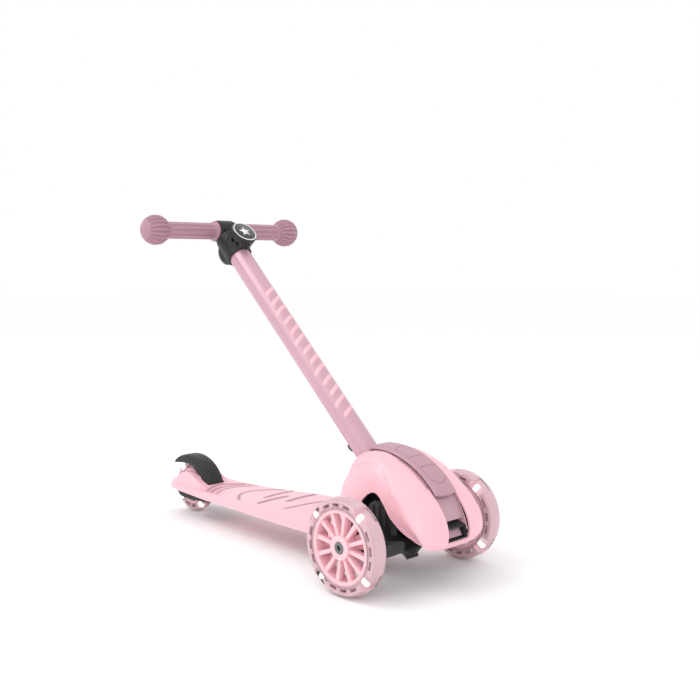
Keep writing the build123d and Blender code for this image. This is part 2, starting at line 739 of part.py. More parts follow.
with BuildPart() as rear_wheel_core:
    add(wheel_core(*rear_axis, -rear_hub_x, rear_hub_x, rear_hub_r, rear_rim_in_r, rear_rim_r, 1))
rear_wheel_core.part.label = "rear_wheel_core"
export_step(rear_wheel_core.part, "parts/rear_wheel_core.step")

rear_leds = led_blocks(*rear_axis, 0, rear_rim_r + 1.0, rear_rim_r + 7.0, led_half_w, 5.0, rear_led_angles)
with BuildPart() as rear_tyre:
    add(tyre_ring(*rear_axis, 0, rear_rim_r, rear_wheel_r, rear_wheel_w, 6.0))
    add(rear_leds, mode=Mode.SUBTRACT)
rear_tyre.part.label = "rear_tyre"
export_step(rear_tyre.part, "parts/rear_tyre.step")

with BuildPart() as rear_wheel_leds:
    add(rear_leds)
rear_wheel_leds.part.label = "rear_wheel_leds"
export_step(rear_wheel_leds.part, "parts/rear_wheel_leds.step")

with BuildPart() as rear_bearings:
    add(bearing_pair(*rear_axis, -rear_hub_x, rear_hub_x, 1))
rear_bearings.part.label = "rear_bearings"
export_step(rear_bearings.part, "parts/rear_bearings.step")

with BuildPart() as rear_spacer:
    add(bearing_spacer(*rear_axis, -rear_hub_x, rear_hub_x, 1))
rear_spacer.part.label = "rear_spacer"
export_step(rear_spacer.part, "parts/rear_spacer.step")

with BuildPart() as rear_cradle:
    with BuildSketch(Plane.YZ):
        with BuildLine():
            Polyline(
                rear_rel(-92, deck_bottom_z), rear_rel(-81, 28), rear_rel(-63, 24), rear_rel(-42, 24),
                rear_rel(-1, 22), rear_rel(18, 24), rear_rel(tail_reach - 1, 33), rear_rel(tail_reach - 1, deck_bottom_z),
                rear_rel(-92, deck_bottom_z),
            )
        make_face()
    extrude(amount=plate_out_x, both=True)
    with BuildSketch(across(*rear_axis)):
        Circle(boss_seat_r)
    extrude(amount=plate_out_x, both=True)
    with BuildSketch(Plane.XY):
        with Locations((0, rear_axle_y)):
            Rectangle(2 * plate_in_x, 2 * (rear_wheel_r + 6))
    extrude(amount=80, mode=Mode.SUBTRACT)
    for x_side in (-1, 1):
        with BuildSketch(across(*rear_axis, x_side * (plate_in_x + 0.5))):
            Circle(6.5)
        extrude(amount=-x_side * (plate_in_x + 0.5 - rear_hub_x - 0.15))
    with BuildSketch(across(*rear_axis)):
        Circle(axle_r + seat_gap)
    extrude(amount=60, both=True, mode=Mode.SUBTRACT)
rear_cradle.part.label = "rear_cradle"
export_step(rear_cradle.part, "parts/rear_cradle.step")

with BuildPart() as rear_axle_bolt:
    with BuildSketch(across(*rear_axis, -plate_out_x - seat_gap)):
        Circle(axle_r)
    extrude(amount=2 * plate_out_x + 3.4)
    with BuildSketch(across(*rear_axis, -plate_out_x - seat_gap)):
        Circle(bolt_head_r)
    extrude(amount=-3.2)
rear_axle_bolt.part.label = "rear_axle_bolt"
export_step(rear_axle_bolt.part, "parts/rear_axle_bolt.step")

with BuildPart() as rear_axle_nut:
    with BuildSketch(across(*rear_axis, plate_out_x + seat_gap)):
        RegularPolygon(radius=7.4, side_count=6)
        Circle(axle_r + seat_gap, mode=Mode.SUBTRACT)
    extrude(amount=3.2)
rear_axle_nut.part.label = "rear_axle_nut"
export_step(rear_axle_nut.part, "parts/rear_axle_nut.step")

fender_half_w = slot_half_w - 0.9
fender_wall = 2.6
fender_in_r = rear_wheel_r + 8.5
with BuildPart() as brake_fender:
    with BuildSketch(Plane.YZ):
        with BuildLine():
            crest = Spline(
                rear_rel(-56, 58), rear_rel(-47.5, 72), rear_rel(-33, 83), rear_rel(-14, 89.5),
                rear_rel(4, 91), rear_rel(21, 87.5), rear_rel(fender_reach - 1.5, 80),
            )
            tip = ThreePointArc(crest @ 1, rear_rel(fender_reach, 77.5), rear_rel(fender_reach - 3, 76))
            skirt = Spline(
                tip @ 1, rear_rel(22, 77.5), rear_rel(-2, 77.5), rear_rel(-16, 73.5), rear_rel(-29, 63),
                (brake_pin_y + 6, brake_pin_z - 1),
            )
            heel = ThreePointArc(skirt @ 1, (brake_pin_y, brake_pin_z - 5.5), (brake_pin_y - 5.8, brake_pin_z))
            Polyline(heel @ 1, rear_rel(-56.5, 52), crest @ 0)
        make_face()
    extrude(amount=fender_half_w, both=True)
    with BuildSketch(across(*rear_axis)):
        Circle(fender_in_r)
    extrude(amount=fender_half_w - fender_wall, both=True, mode=Mode.SUBTRACT)
    with BuildSketch(across(brake_pin_y, brake_pin_z)):
        Circle(6.2)
    extrude(amount=6.5, both=True, mode=Mode.SUBTRACT)
    with BuildSketch(across(brake_pin_y, brake_pin_z)):
        Circle(brake_pin_r + running)
    extrude(amount=60, both=True, mode=Mode.SUBTRACT)
brake_fender.part.label = "brake_fender"
export_step(brake_fender.part, "parts/brake_fender.step")

with BuildPart() as brake_pad:
    with BuildSketch(across(*rear_axis)):
        with BuildLine():
            pad_out = CenterArc((0, 0), fender_in_r, 92, 32)
            pad_in = CenterArc((0, 0), fender_in_r - 3, 92, 32)
            Line(pad_out @ 0, pad_in @ 0)
            Line(pad_out @ 1, pad_in @ 1)
        make_face()
    extrude(amount=rear_wheel_w / 2 - 1.5, both=True)
brake_pad.part.label = "brake_pad"
export_step(brake_pad.part, "parts/brake_pad.step")

with BuildPart() as brake_pin:
    with BuildSketch(across(brake_pin_y, brake_pin_z)):
        Circle(brake_pin_r)
    extrude(amount=hump_half_w - 2, both=True)
brake_pin.part.label = "brake_pin"
export_step(brake_pin.part, "parts/brake_pin.step")

with BuildPart() as brake_spring:
    add(coil(Plane(origin=(-5.2, brake_pin_y, brake_pin_z), x_dir=(0, 1, 0), z_dir=(1, 0, 0)), 3.4, 2.1, 10.4, 0.7))
brake_spring.part.label = "brake_spring"
export_step(brake_spring.part, "parts/brake_spring.step")

# ==== stem ========================================================================================
with BuildPart() as stem_foot:
    with BuildSketch(across(pivot_y, pivot_z)):
        Circle(knuckle_r)
    extrude(amount=knuckle_half_w, both=True)
    with BuildSketch(stem):
        Circle(knuckle_half_w)
    extrude(amount=foot_top)
    with BuildSketch(stem.offset(foot_top)):
        Circle(post_r - post_wall - seat_gap)
    extrude(amount=28)
    with BuildSketch(across(pivot_y, pivot_z)):
        Circle(fold_pin_r + running)
    extrude(amount=40, both=True, mode=Mode.SUBTRACT)
    with BuildSketch(Plane(origin=stem.offset(foot_top + 14).origin, x_dir=stem.y_dir, z_dir=(1, 0, 0))):
        Circle(2 + seat_gap)
    extrude(amount=40, both=True, mode=Mode.SUBTRACT)
stem_foot.part.label = "stem_foot"
export_step(stem_foot.part, "parts/stem_foot.step")

with BuildPart() as inner_post:
    with BuildSketch(stem.offset(foot_top)):
        Circle(post_r)
        Circle(post_r - post_wall, mode=Mode.SUBTRACT)
    extrude(amount=post_top - foot_top)
    with BuildSketch(Plane(origin=stem.offset(foot_top + 14).origin, x_dir=stem.y_dir, z_dir=(1, 0, 0))):
        Circle(2 + seat_gap)
    extrude(amount=40, both=True, mode=Mode.SUBTRACT)
    # groove that the height button's nose runs in
    groove_floor = Plane(
        origin=stem.from_local_coords(Vector(0, post_r - groove_depth, button_d + height_travel / 2)),
        x_dir=stem.z_dir,
        z_dir=stem.y_dir,
    )
    with BuildSketch(groove_floor):
        Rectangle(height_travel + 2 * button_half_h + 12, 2 * button_half_w + 1)
    extrude(amount=5, mode=Mode.SUBTRACT)
inner_post.part.label = "inner_post"
export_step(inner_post.part, "parts/inner_post.step")

with BuildPart() as post_rivet:
    with BuildSketch(Plane(origin=stem.offset(foot_top + 14).origin, x_dir=stem.y_dir, z_dir=(1, 0, 0))):
        Circle(2)
    extrude(amount=post_r - 0.3, both=True)
post_rivet.part.label = "post_rivet"
export_step(post_rivet.part, "parts/post_rivet.step")

tube_in_r = tube_r - tube_wall
with BuildPart() as post_guide_bush:
    with BuildSketch(stem.offset(post_top - bush_l)):
        Circle(tube_in_r - running)
        Circle(post_r + seat_gap, mode=Mode.SUBTRACT)
    extrude(amount=bush_l)
post_guide_bush.part.label = "post_guide_bush"
export_step(post_guide_bush.part, "parts/post_guide_bush.step")

with BuildPart() as tube_guide_bush:
    with BuildSketch(stem.offset(tube_bottom)):
        Circle(tube_in_r - seat_gap)
        Circle(post_r + running, mode=Mode.SUBTRACT)
    extrude(amount=bush_l)
tube_guide_bush.part.label = "tube_guide_bush"
export_step(tube_guide_bush.part, "parts/tube_guide_bush.step")


def on_stem_back(height):
    """A plane square to the stem's rear side, its origin on the stem's axis beside the button."""
    origin = stem.from_local_coords(Vector(0, height, button_d))
    return Plane(origin=origin, x_dir=stem.z_dir, z_dir=stem.y_dir)


clamp_top = stem_length - collar_r - side_gap      # the grips' collars pass above
tube_top = clamp_top - 2.0
with BuildPart() as stem_tube:
    with BuildSketch(stem.offset(tube_bottom)):
        Circle(tube_r)
        Circle(tube_in_r, mode=Mode.SUBTRACT)
    extrude(amount=tube_top - tube_bottom)
    with BuildSketch(on_stem_back(5)):
        SlotOverall(2 * button_half_h + 0.8, 2 * button_half_w + 0.8)
    extrude(amount=30, mode=Mode.SUBTRACT)
stem_tube.part.label = "stem_tube"
export_step(stem_tube.part, "parts/stem_tube.step")

button_nose = post_r - groove_depth + button_travel + 0.3
with BuildPart() as height_button:
    with BuildSketch(on_stem_back(button_nose)):
        SlotOverall(2 * button_half_h, 2 * button_half_w)
    extrude(amount=tube_r + button_proud - button_nose)
    fillet(height_button.faces().sort_by(Axis(stem.origin, stem.y_dir))[-1].edges(), 1.4)
height_button.part.label = "height_button"
export_step(height_button.part, "parts/height_button.step")

with BuildPart() as button_spring:
    with BuildSketch(on_stem_back(post_r + 0.25)):
        Rectangle(24, 6)
    extrude(amount=0.5)
button_spring.part.label = "button_spring"
export_step(button_spring.part, "parts/button_spring.step")

# ==== shield ======================================================================================
shield_start = 81.5
shield_end = 142.5
shield_shoulder = 3.5


def radial_plane(degrees):
    """A plane through the shield's axis whose local y points outward at an angle from +Y."""
    turn = radians(degrees)
    return Plane(origin=(0, shield_c_y, shield_c_z), x_dir=(1, 0, 0), z_dir=(0, -sin(turn), cos(turn)))


with BuildPart() as fold_shield:
    with BuildSketch(radial_plane(shield_start)):
        with BuildLine():
            crown = ThreePointArc(
                (-shield_half_w, shield_r - shield_shoulder), (0, shield_r), (shield_half_w, shield_r - shield_shoulder)
            )
            Polyline(
                crown @ 1, (shield_half_w, shield_in_r), (flange_half_w, shield_in_r),
                (flange_half_w, shield_in_r - flange_t), (-flange_half_w, shield_in_r - flange_t),
                (-flange_half_w, shield_in_r), (-shield_half_w, shield_in_r), crown @ 0,
            )
        make_face()
    shield_axis = Axis((0, shield_c_y, shield_c_z), (1, 0, 0))
    revolve(axis=shield_axis, revolution_arc=shield_end - shield_start)
fold_shield.part.label = "fold_shield"
export_step(fold_shield.part, "parts/fold_shield.step")

# ==== handlebar ===================================================================================
badge_d = 474.5
badge_r = 19.3
badge_y = -34.0


def on_clamp_front(height):
    """A plane square to the stem's front side through the badge's middle."""
    origin = stem.from_local_coords(Vector(0, height, badge_d))
    return Plane(origin=origin, x_dir=(1, 0, 0), z_dir=-stem.y_dir)


screw_r = 2.0
screw_places = (clamp_bottom + 5.0, clamp_bottom + 13.0)
screw_y = -22.0
screw_head_r = screw_r + 1.4
lug_half_w = 8.5
lobe_r = 21.0
lobe_seat = stem.from_local_coords(Vector(0, 8, clamp_bottom + lobe_r))
lobe_middle = (lobe_seat.Y, lobe_seat.Z)


def across_lug(distance, x=0.0):
    """A plane along +X at a clamp screw's axis."""
    origin = stem.from_local_coords(Vector(x, screw_y, distance))
    return Plane(origin=origin, x_dir=(0, 1, 0), z_dir=(1, 0, 0))


with BuildPart() as handlebar_clamp:
    with BuildSketch(stem.offset(clamp_bottom)):
        Circle(clamp_stem_r)
    extrude(amount=clamp_top - clamp_bottom)
    with BuildSketch(bar_axis):
        Circle(clamp_bar_r)
    extrude(amount=clamp_half_w, both=True)
    # round lobe behind the stem and the badge's boss ahead of it
    with BuildSketch(across(*lobe_middle)):
        Circle(lobe_r)
    extrude(amount=clamp_half_w, both=True)
    with BuildSketch(on_clamp_front(-tube_r - 1)):
        Circle(badge_r + 1.0)
    extrude(amount=-badge_y - tube_r - 1)
    with BuildSketch(stem.offset(clamp_bottom)):
        with Locations((0, screw_y + 2)):
            Rectangle(2 * lug_half_w, 11)
    extrude(amount=20)
    with BuildSketch(stem.offset(clamp_bottom - 5)):
        Circle(tube_r + seat_gap)
    extrude(amount=tube_top + seat_gap - clamp_bottom + 5, mode=Mode.SUBTRACT)
    with BuildSketch(bar_axis):
        Circle(bar_r + seat_gap)
    extrude(amount=60, both=True, mode=Mode.SUBTRACT)
    # clamping slit down the front, with its two screws
    with BuildSketch(stem.offset(clamp_bottom - 1)):
        with Locations((0, screw_y)):
            Rectangle(1.6, 20)
    extrude(amount=19, mode=Mode.SUBTRACT)
    for place in screw_places:
        with BuildSketch(across_lug(place)):
            Circle(screw_r + seat_gap)
        extrude(amount=30, both=True, mode=Mode.SUBTRACT)
        with BuildSketch(across_lug(place, -lug_half_w)):
            Circle(screw_head_r + seat_gap)
        extrude(amount=-30, mode=Mode.SUBTRACT)
handlebar_clamp.part.label = "handlebar_clamp"
export_step(handlebar_clamp.part, "parts/handlebar_clamp.step")

with BuildPart() as clamp_screws:
    for place in screw_places:
        with BuildSketch(across_lug(place)):
            Circle(screw_r)
        extrude(amount=lug_half_w, both=True)
        with BuildSketch(across_lug(place, -lug_half_w)):
            Circle(screw_head_r)
        extrude(amount=-1.8)
clamp_screws.part.label = "clamp_screws"
export_step(clamp_screws.part, "parts/clamp_screws.step")

with BuildPart() as badge_disc:
    with BuildSketch(on_clamp_front(badge_y)):
        Circle(badge_r)
    extrude(amount=1.2)
badge_disc.part.label = "badge_disc"
export_step(badge_disc.part, "parts/badge_disc.step")

with BuildPart() as badge_ring:
    with BuildSketch(on_clamp_front(badge_y - 1.2)):
        Circle(badge_r - 0.8)
        Circle(badge_r - 2.4, mode=Mode.SUBTRACT)
    extrude(amount=0.5)
    with BuildSketch(on_clamp_front(badge_y - 1.2)):
        with BuildLine():
            points = [
                ((9.5 if index % 2 == 0 else 4.2) * sin(radians(36 * index)),
                 (9.5 if index % 2 == 0 else 4.2) * cos(radians(36 * index)))
                for index in range(10)
            ]
            Polyline(*points, close=True)
        make_face()
    extrude(amount=0.5)
badge_ring.part.label = "badge_ring"
export_step(badge_ring.part, "parts/badge_ring.step")

with BuildPart() as handlebar_tube:
    with BuildSketch(bar_axis):
        Circle(bar_r)
        Circle(bar_r - 1.5, mode=Mode.SUBTRACT)
    extrude(amount=bar_span / 2 + 6, both=True)
handlebar_tube.part.label = "handlebar_tube"
export_step(handlebar_tube.part, "parts/handlebar_tube.step")

for side, word in ((-1, "right"), (1, "left")):
    ball_x = bar_span / 2
    start_x = clamp_half_w + 0.3
    with BuildPart() as grip:
        with BuildSketch(Plane.XY):
            with BuildLine():
                neck_x = ball_x - (ball_r**2 - grip_r**2) ** 0.5
                ball = ThreePointArc((neck_x, grip_r), (ball_x, ball_r), (ball_x + ball_r, 0))
                Polyline(
                    (ball_x + ball_r, 0), (start_x, 0), (start_x, collar_r), (start_x + collar_w, collar_r),
                    (start_x + collar_w, grip_r), ball @ 0,
                )
            make_face()
        revolve(axis=Axis.X)
        with BuildSketch(Plane.YZ.offset(start_x - 1)):
            Circle(bar_r + seat_gap)
        extrude(amount=ball_x + 6 + seat_gap - start_x + 1, mode=Mode.SUBTRACT)
    if side < 0:
        placed = mirror(grip.part, about=Plane.YZ)
    else:
        placed = grip.part
    placed = placed.moved(Location(bar_axis.origin))
    placed.label = f"grip_{word}"
    export_step(placed, f"parts/grip_{word}.step")
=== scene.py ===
"""Kick scooter: the visible pieces, finishes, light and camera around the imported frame.

Sizes in the helpers are millimetres in the row frame; piece() scales them to metres.
"""
from math import atan2, cos, hypot, pi, radians, sin

import bmesh
import bpy
from mathutils import Matrix, Vector


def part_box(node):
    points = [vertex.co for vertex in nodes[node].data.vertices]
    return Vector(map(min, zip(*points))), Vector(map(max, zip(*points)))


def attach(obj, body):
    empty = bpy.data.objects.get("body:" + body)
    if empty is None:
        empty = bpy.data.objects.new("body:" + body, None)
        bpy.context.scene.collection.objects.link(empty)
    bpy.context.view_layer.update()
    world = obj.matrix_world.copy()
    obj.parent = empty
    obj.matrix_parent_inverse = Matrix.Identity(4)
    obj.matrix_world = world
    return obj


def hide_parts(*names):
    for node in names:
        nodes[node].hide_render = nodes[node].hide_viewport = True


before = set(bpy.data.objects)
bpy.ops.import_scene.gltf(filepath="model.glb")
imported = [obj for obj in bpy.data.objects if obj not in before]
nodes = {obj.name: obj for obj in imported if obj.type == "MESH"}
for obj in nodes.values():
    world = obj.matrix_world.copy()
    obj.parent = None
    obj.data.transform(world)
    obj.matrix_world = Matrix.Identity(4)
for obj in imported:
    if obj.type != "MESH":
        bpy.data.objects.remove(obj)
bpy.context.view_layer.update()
scene = bpy.context.scene


def spot(node):
    """Middle of a CAD node's box, in millimetres."""
    low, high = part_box(node)
    return (low + high) * 500.0


def span(node, axis):
    low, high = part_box(node)
    return low[axis] * 1000.0, high[axis] * 1000.0


FRONT = spot("front_tyre_left")
REAR = spot("rear_tyre")
FY, FR = FRONT.y, FRONT.z
RY, RR = REAR.y, REAR.z
PIVOT = spot("fold_pin")
BAR = spot("handlebar_tube")
LEAN = atan2(BAR.y - PIVOT.y, BAR.z - PIVOT.z)
STEM_L = hypot(BAR.y - PIVOT.y, BAR.z - PIVOT.z)
UP_STEM = Vector((0, sin(LEAN), cos(LEAN)))
BACK_STEM = Vector((0, cos(LEAN), -sin(LEAN)))
SIDE = Vector((1, 0, 0))
STEM_ORIGIN = (0, PIVOT.y, PIVOT.z)
TUBE_R = 16.0                        # stem tube's outer radius
SLOT_HALF = 20.0                     # half width of the cowl's slot
SHIELD_Y, SHIELD_Z = FY + 30.0, 40.0  # centre of the arc the fold shield slides on
SHIELD_R = 125.0
FLOOR_Z = 41.0                       # underside of the deck, where its walls and ribs end


def on_stem(x, y, d):
    """A point from the stem's axes: x to the left, y out of its rear, d up from the pin."""
    return Vector(STEM_ORIGIN) + SIDE * x + BACK_STEM * y + UP_STEM * d


# ---------------------------------------------------------------- finishes
def finish(name, colour, rough=0.45, metal=0.0, vary=0.03, grain=900.0, bump=0.15, coat=0.0,
           coat_rough=0.1, edge=0.10, rough_vary=0.08, specular=0.5, sheen=0.0, subsurface=0.0):
    """A moulded or painted finish: the colour drifts softly, a fine grain lifts the surface
    and the edges rub paler."""
    mat = bpy.data.materials.new(name)
    mat.use_nodes = True
    tree = mat.node_tree
    new, link = tree.nodes.new, tree.links.new
    shader = tree.nodes["Principled BSDF"]
    shader.inputs["Metallic"].default_value = metal
    shader.inputs["Specular IOR Level"].default_value = specular
    shader.inputs["Coat Weight"].default_value = coat
    shader.inputs["Coat Roughness"].default_value = coat_rough
    shader.inputs["Sheen Weight"].default_value = sheen
    shader.inputs["Subsurface Weight"].default_value = subsurface
    shader.inputs["Subsurface Radius"].default_value = (0.004, 0.002, 0.002)
    place = new("ShaderNodeTexCoord")
    drift = new("ShaderNodeTexNoise")
    drift.inputs["Scale"].default_value = 14.0
    drift.inputs["Detail"].default_value = 3.0
    link(place.outputs["Object"], drift.inputs["Vector"])
    ramp = new("ShaderNodeMapRange")
    ramp.inputs["From Min"].default_value = 0.3
    ramp.inputs["From Max"].default_value = 0.7
    ramp.inputs["To Min"].default_value = 1.0 - vary
    ramp.inputs["To Max"].default_value = 1.0 + vary
    link(drift.outputs["Fac"], ramp.inputs["Value"])
    tint = new("ShaderNodeHueSaturation")
    tint.inputs["Color"].default_value = (*colour, 1.0)
    link(ramp.outputs["Result"], tint.inputs["Value"])
    worn = new("ShaderNodeNewGeometry")
    rub = new("ShaderNodeMapRange")
    rub.inputs["From Min"].default_value = 0.53
    rub.inputs["From Max"].default_value = 0.62
    rub.inputs["To Min"].default_value = 0.0
    rub.inputs["To Max"].default_value = edge
    link(worn.outputs["Pointiness"], rub.inputs["Value"])
    blend = new("ShaderNodeMix")
    blend.data_type = "RGBA"
    pale = tuple(min(1.0, 0.45 + 0.55 * c) for c in colour)
    blend.inputs["B"].default_value = (*pale, 1.0)
    link(rub.outputs["Result"], blend.inputs["Factor"])
    link(tint.outputs["Color"], blend.inputs["A"])
    link(blend.outputs["Result"], shader.inputs["Base Color"])
    fine = new("ShaderNodeTexNoise")
    fine.inputs["Scale"].default_value = grain
    fine.inputs["Detail"].default_value = 4.0
    link(place.outputs["Object"], fine.inputs["Vector"])
    spread = new("ShaderNodeMapRange")
    spread.inputs["To Min"].default_value = max(0.02, rough - rough_vary)
    spread.inputs["To Max"].default_value = rough + rough_vary
    link(fine.outputs["Fac"], spread.inputs["Value"])
    link(spread.outputs["Result"], shader.inputs["Roughness"])
    lift = new("ShaderNodeBump")
    lift.inputs["Strength"].default_value = bump
    lift.inputs["Distance"].default_value = 0.0003
    link(fine.outputs["Fac"], lift.inputs["Height"])
    link(lift.outputs["Normal"], shader.inputs["Normal"])
    return mat


def clear_urethane(name, colour):
    mat = finish(name, colour, rough=0.06, vary=0.01, bump=0.04, edge=0.0, rough_vary=0.03)
    shader = mat.node_tree.nodes["Principled BSDF"]
    shader.inputs["Transmission Weight"].default_value = 1.0
    shader.inputs["IOR"].default_value = 1.36
    return mat


def lit(name, colour, strength):
    mat = finish(name, colour, rough=0.2, vary=0.01, bump=0.05, edge=0.0)
    shader = mat.node_tree.nodes["Principled BSDF"]
    shader.inputs["Emission Color"].default_value = (*colour, 1.0)
    shader.inputs["Emission Strength"].default_value = strength
    return mat


PINK = finish("pale_pink_plastic", (0.91, 0.50, 0.57), rough=0.36, vary=0.02, grain=700,
              bump=0.10, coat=0.12, coat_rough=0.25, subsurface=0.05)
PINK_WHEEL = finish("pink_wheel_plastic", (0.91, 0.54, 0.60), rough=0.34, vary=0.02, grain=700,
                    bump=0.08, coat=0.15)
PINK_BAND = finish("pink_band_plastic", (0.98, 0.68, 0.74), rough=0.34, vary=0.02, grain=700,
                   bump=0.08)
PALE_BEAD = finish("bead_gloss_plastic", (0.93, 0.62, 0.66), rough=0.12, vary=0.02, grain=500,
                   bump=0.05, coat=0.8, coat_rough=0.05)
# dark lines painted as the shade in the seams beside the bead ring
BEAD_SHADE_LINE = finish("bead_shadow_line", (0.16, 0.105, 0.115), rough=0.2, vary=0.02, grain=500,
               bump=0.05, coat=0.6)
INLAY = finish("mauve_grip_plastic", (0.47, 0.275, 0.33), rough=0.60, vary=0.05, grain=1500,
               bump=0.4, edge=0.05)
PAINT = finish("mauve_powder_paint", (0.61, 0.36, 0.43), rough=0.34, metal=0.35, vary=0.03,
               grain=2600, bump=0.05, coat=0.25, coat_rough=0.22, edge=0.05)
SHIELD = finish("mauve_shell_plastic", (0.47, 0.27, 0.325), rough=0.42, vary=0.02, grain=1200,
                bump=0.2, coat=0.05)
RUBBER = finish("mauve_rubber", (0.41, 0.22, 0.27), rough=0.55, vary=0.04, grain=1800,
                bump=0.35, sheen=0.15, edge=0.06)
BLACK = finish("black_nylon", (0.022, 0.022, 0.023), specular=0.3, rough=0.42, vary=0.10,
               grain=1500, bump=0.35, edge=0.04)
GLOSS = finish("black_gloss", (0.012, 0.012, 0.013), rough=0.16, vary=0.05, grain=600,
               bump=0.04, coat=0.5, edge=0.02)
PRINT = finish("white_print", (0.88, 0.88, 0.88), rough=0.4, vary=0.01, bump=0.1)
PALE_PRINT = finish("pale_pink_print", (0.88, 0.47, 0.53), rough=0.4, vary=0.02, bump=0.1)
STEEL = finish("zinc_steel", (0.46, 0.46, 0.47), rough=0.34, metal=1.0, vary=0.08, grain=2200,
               bump=0.25)
DULL_STEEL = finish("dull_zinc", (0.20, 0.21, 0.21), rough=0.45, metal=0.5, vary=0.1,
                    grain=1500, bump=0.2)
ALLOY = finish("black_cast_alloy", (0.035, 0.035, 0.037), rough=0.5, metal=0.3, vary=0.06,
               grain=900, bump=0.5)
URETHANE = finish("bush_urethane", (0.06, 0.06, 0.06), rough=0.5, vary=0.05, bump=0.2)
CLEAR = clear_urethane("clear_urethane", (1.0, 0.985, 0.99))
LED = lit("led_window", (1.0, 0.985, 0.97), 1.1)


# ---------------------------------------------------------------- mesh helpers
def piece(name, verts, faces, body, material, replaces=(), slot=None, outward=None):
    """A mesh from millimetre points; outward is a point inside the form, for an open shell."""
    mesh = bpy.data.meshes.new(name)
    mesh.from_pydata([Vector(v) * 0.001 for v in verts], [], faces)
    bm = bmesh.new()
    bm.from_mesh(mesh)
    bmesh.ops.remove_doubles(bm, verts=bm.verts, dist=2e-6)
    bmesh.ops.recalc_face_normals(bm, faces=bm.faces)
    if outward is not None:
        inside = Vector(outward) * 0.001
        out = sum(f.normal.dot(f.calc_center_median() - inside) * f.calc_area() for f in bm.faces)
        if out < 0:
            bmesh.ops.reverse_faces(bm, faces=bm.faces)
    bm.to_mesh(mesh)
    bm.free()
    mesh.materials.append(material)
    for face in mesh.polygons:
        face.use_smooth = True
    obj = bpy.data.objects.new(name, mesh)
    scene.collection.objects.link(obj)
    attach(obj, body)
    if replaces:
        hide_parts(*replaces)
    return obj


def bevel(obj, width, segments=2, angle=32):
    mod = obj.modifiers.new("bevel", "BEVEL")
    mod.width = width * 0.001
    mod.segments = segments
    mod.limit_method = "ANGLE"
    mod.angle_limit = radians(angle)
    mod.harden_normals = False
    weigh_normals(obj)


def weigh_normals(obj):
    shade = obj.modifiers.new("shade", "WEIGHTED_NORMAL")
    shade.keep_sharp = True


def wall(obj, thickness):
    mod = obj.modifiers.new("wall", "SOLIDIFY")
    mod.thickness = thickness * 0.001
    mod.offset = -1.0
    mod.use_even_offset = True
    return mod


def cut(obj, cutter):
    """Takes the cutter's form out of obj and throws the cutter away."""
    mod = obj.modifiers.new("cut", "BOOLEAN")
    mod.operation = "DIFFERENCE"
    mod.solver = "EXACT"
    mod.object = cutter
    apply_all(obj)
    bpy.data.objects.remove(cutter)


def apply_all(obj):
    """Turns the modifiers so far into plain mesh."""
    bpy.context.view_layer.update()
    shown = obj.evaluated_get(bpy.context.evaluated_depsgraph_get())
    mesh = bpy.data.meshes.new_from_object(shown)
    obj.modifiers.clear()
    obj.data = mesh


class Build:
    """Collects faces of one mesh."""

    def __init__(self):
        self.verts, self.faces = [], []

    def grid(self, rows, close_u=False, close_v=False):
        """Rows of points; u runs along a row, v from row to row."""
        base, n, m = len(self.verts), len(rows[0]), len(rows)
        for row in rows:
            self.verts.extend(tuple(p) for p in row)
        for j in range(m if close_v else m - 1):
            for i in range(n if close_u else n - 1):
                a, b = base + j * n + i, base + j * n + (i + 1) % n
                c = base + (j + 1) % m * n + (i + 1) % n
                d = base + (j + 1) % m * n + i
                self.faces.append((a, b, c, d))
        return self

    def face(self, points):
        base = len(self.verts)
        self.verts.extend(tuple(p) for p in points)
        self.faces.append(tuple(range(base, base + len(points))))
        return self

    def prism(self, ring, offset):
        """A closed ring of points pushed along an offset, with both ends capped."""
        far = [Vector(p) + Vector(offset) for p in ring]
        self.grid([ring, far], close_u=True)
        self.face(ring)
        self.face(far)
        return self

    def loft(self, rings):
        self.grid(rings, close_u=True)
        self.face(rings[0])
        self.face(rings[-1])
        return self

    def lathe(self, profile, count, origin, axis=SIDE, start=(0, 1, 0), closed=True):
        """Profile of (along, radius) turned about an axis; a closed profile makes a ring."""
        axis = Vector(axis).normalized()
        first = Vector(start)
        second = axis.cross(first)
        rows = []
        for k in range(count):
            a = 2 * pi * k / count
            out = first * cos(a) + second * sin(a)
            rows.append([Vector(origin) + axis * s + out * r for s, r in profile])
        self.grid(rows, close_u=closed, close_v=True)
        return self

    def arc_block(self, origin, x_range, r_range, a_range, steps):
        """A block between two radii and two angles about X, angles from +Y over the top."""
        (x0, x1), (r0, r1), (a0, a1) = x_range, r_range, a_range
        rows = []
        for k in range(steps + 1):
            a = radians(a0 + (a1 - a0) * k / steps)
            out = Vector((0, cos(a), sin(a)))
            rows.append([Vector(origin) + SIDE * x + out * r
                         for x, r in ((x0, r0), (x1, r0), (x1, r1), (x0, r1))])
        self.loft(rows)
        return self

    def make(self, name, body, material, **more):
        return piece(name, self.verts, self.faces, body, material, **more)


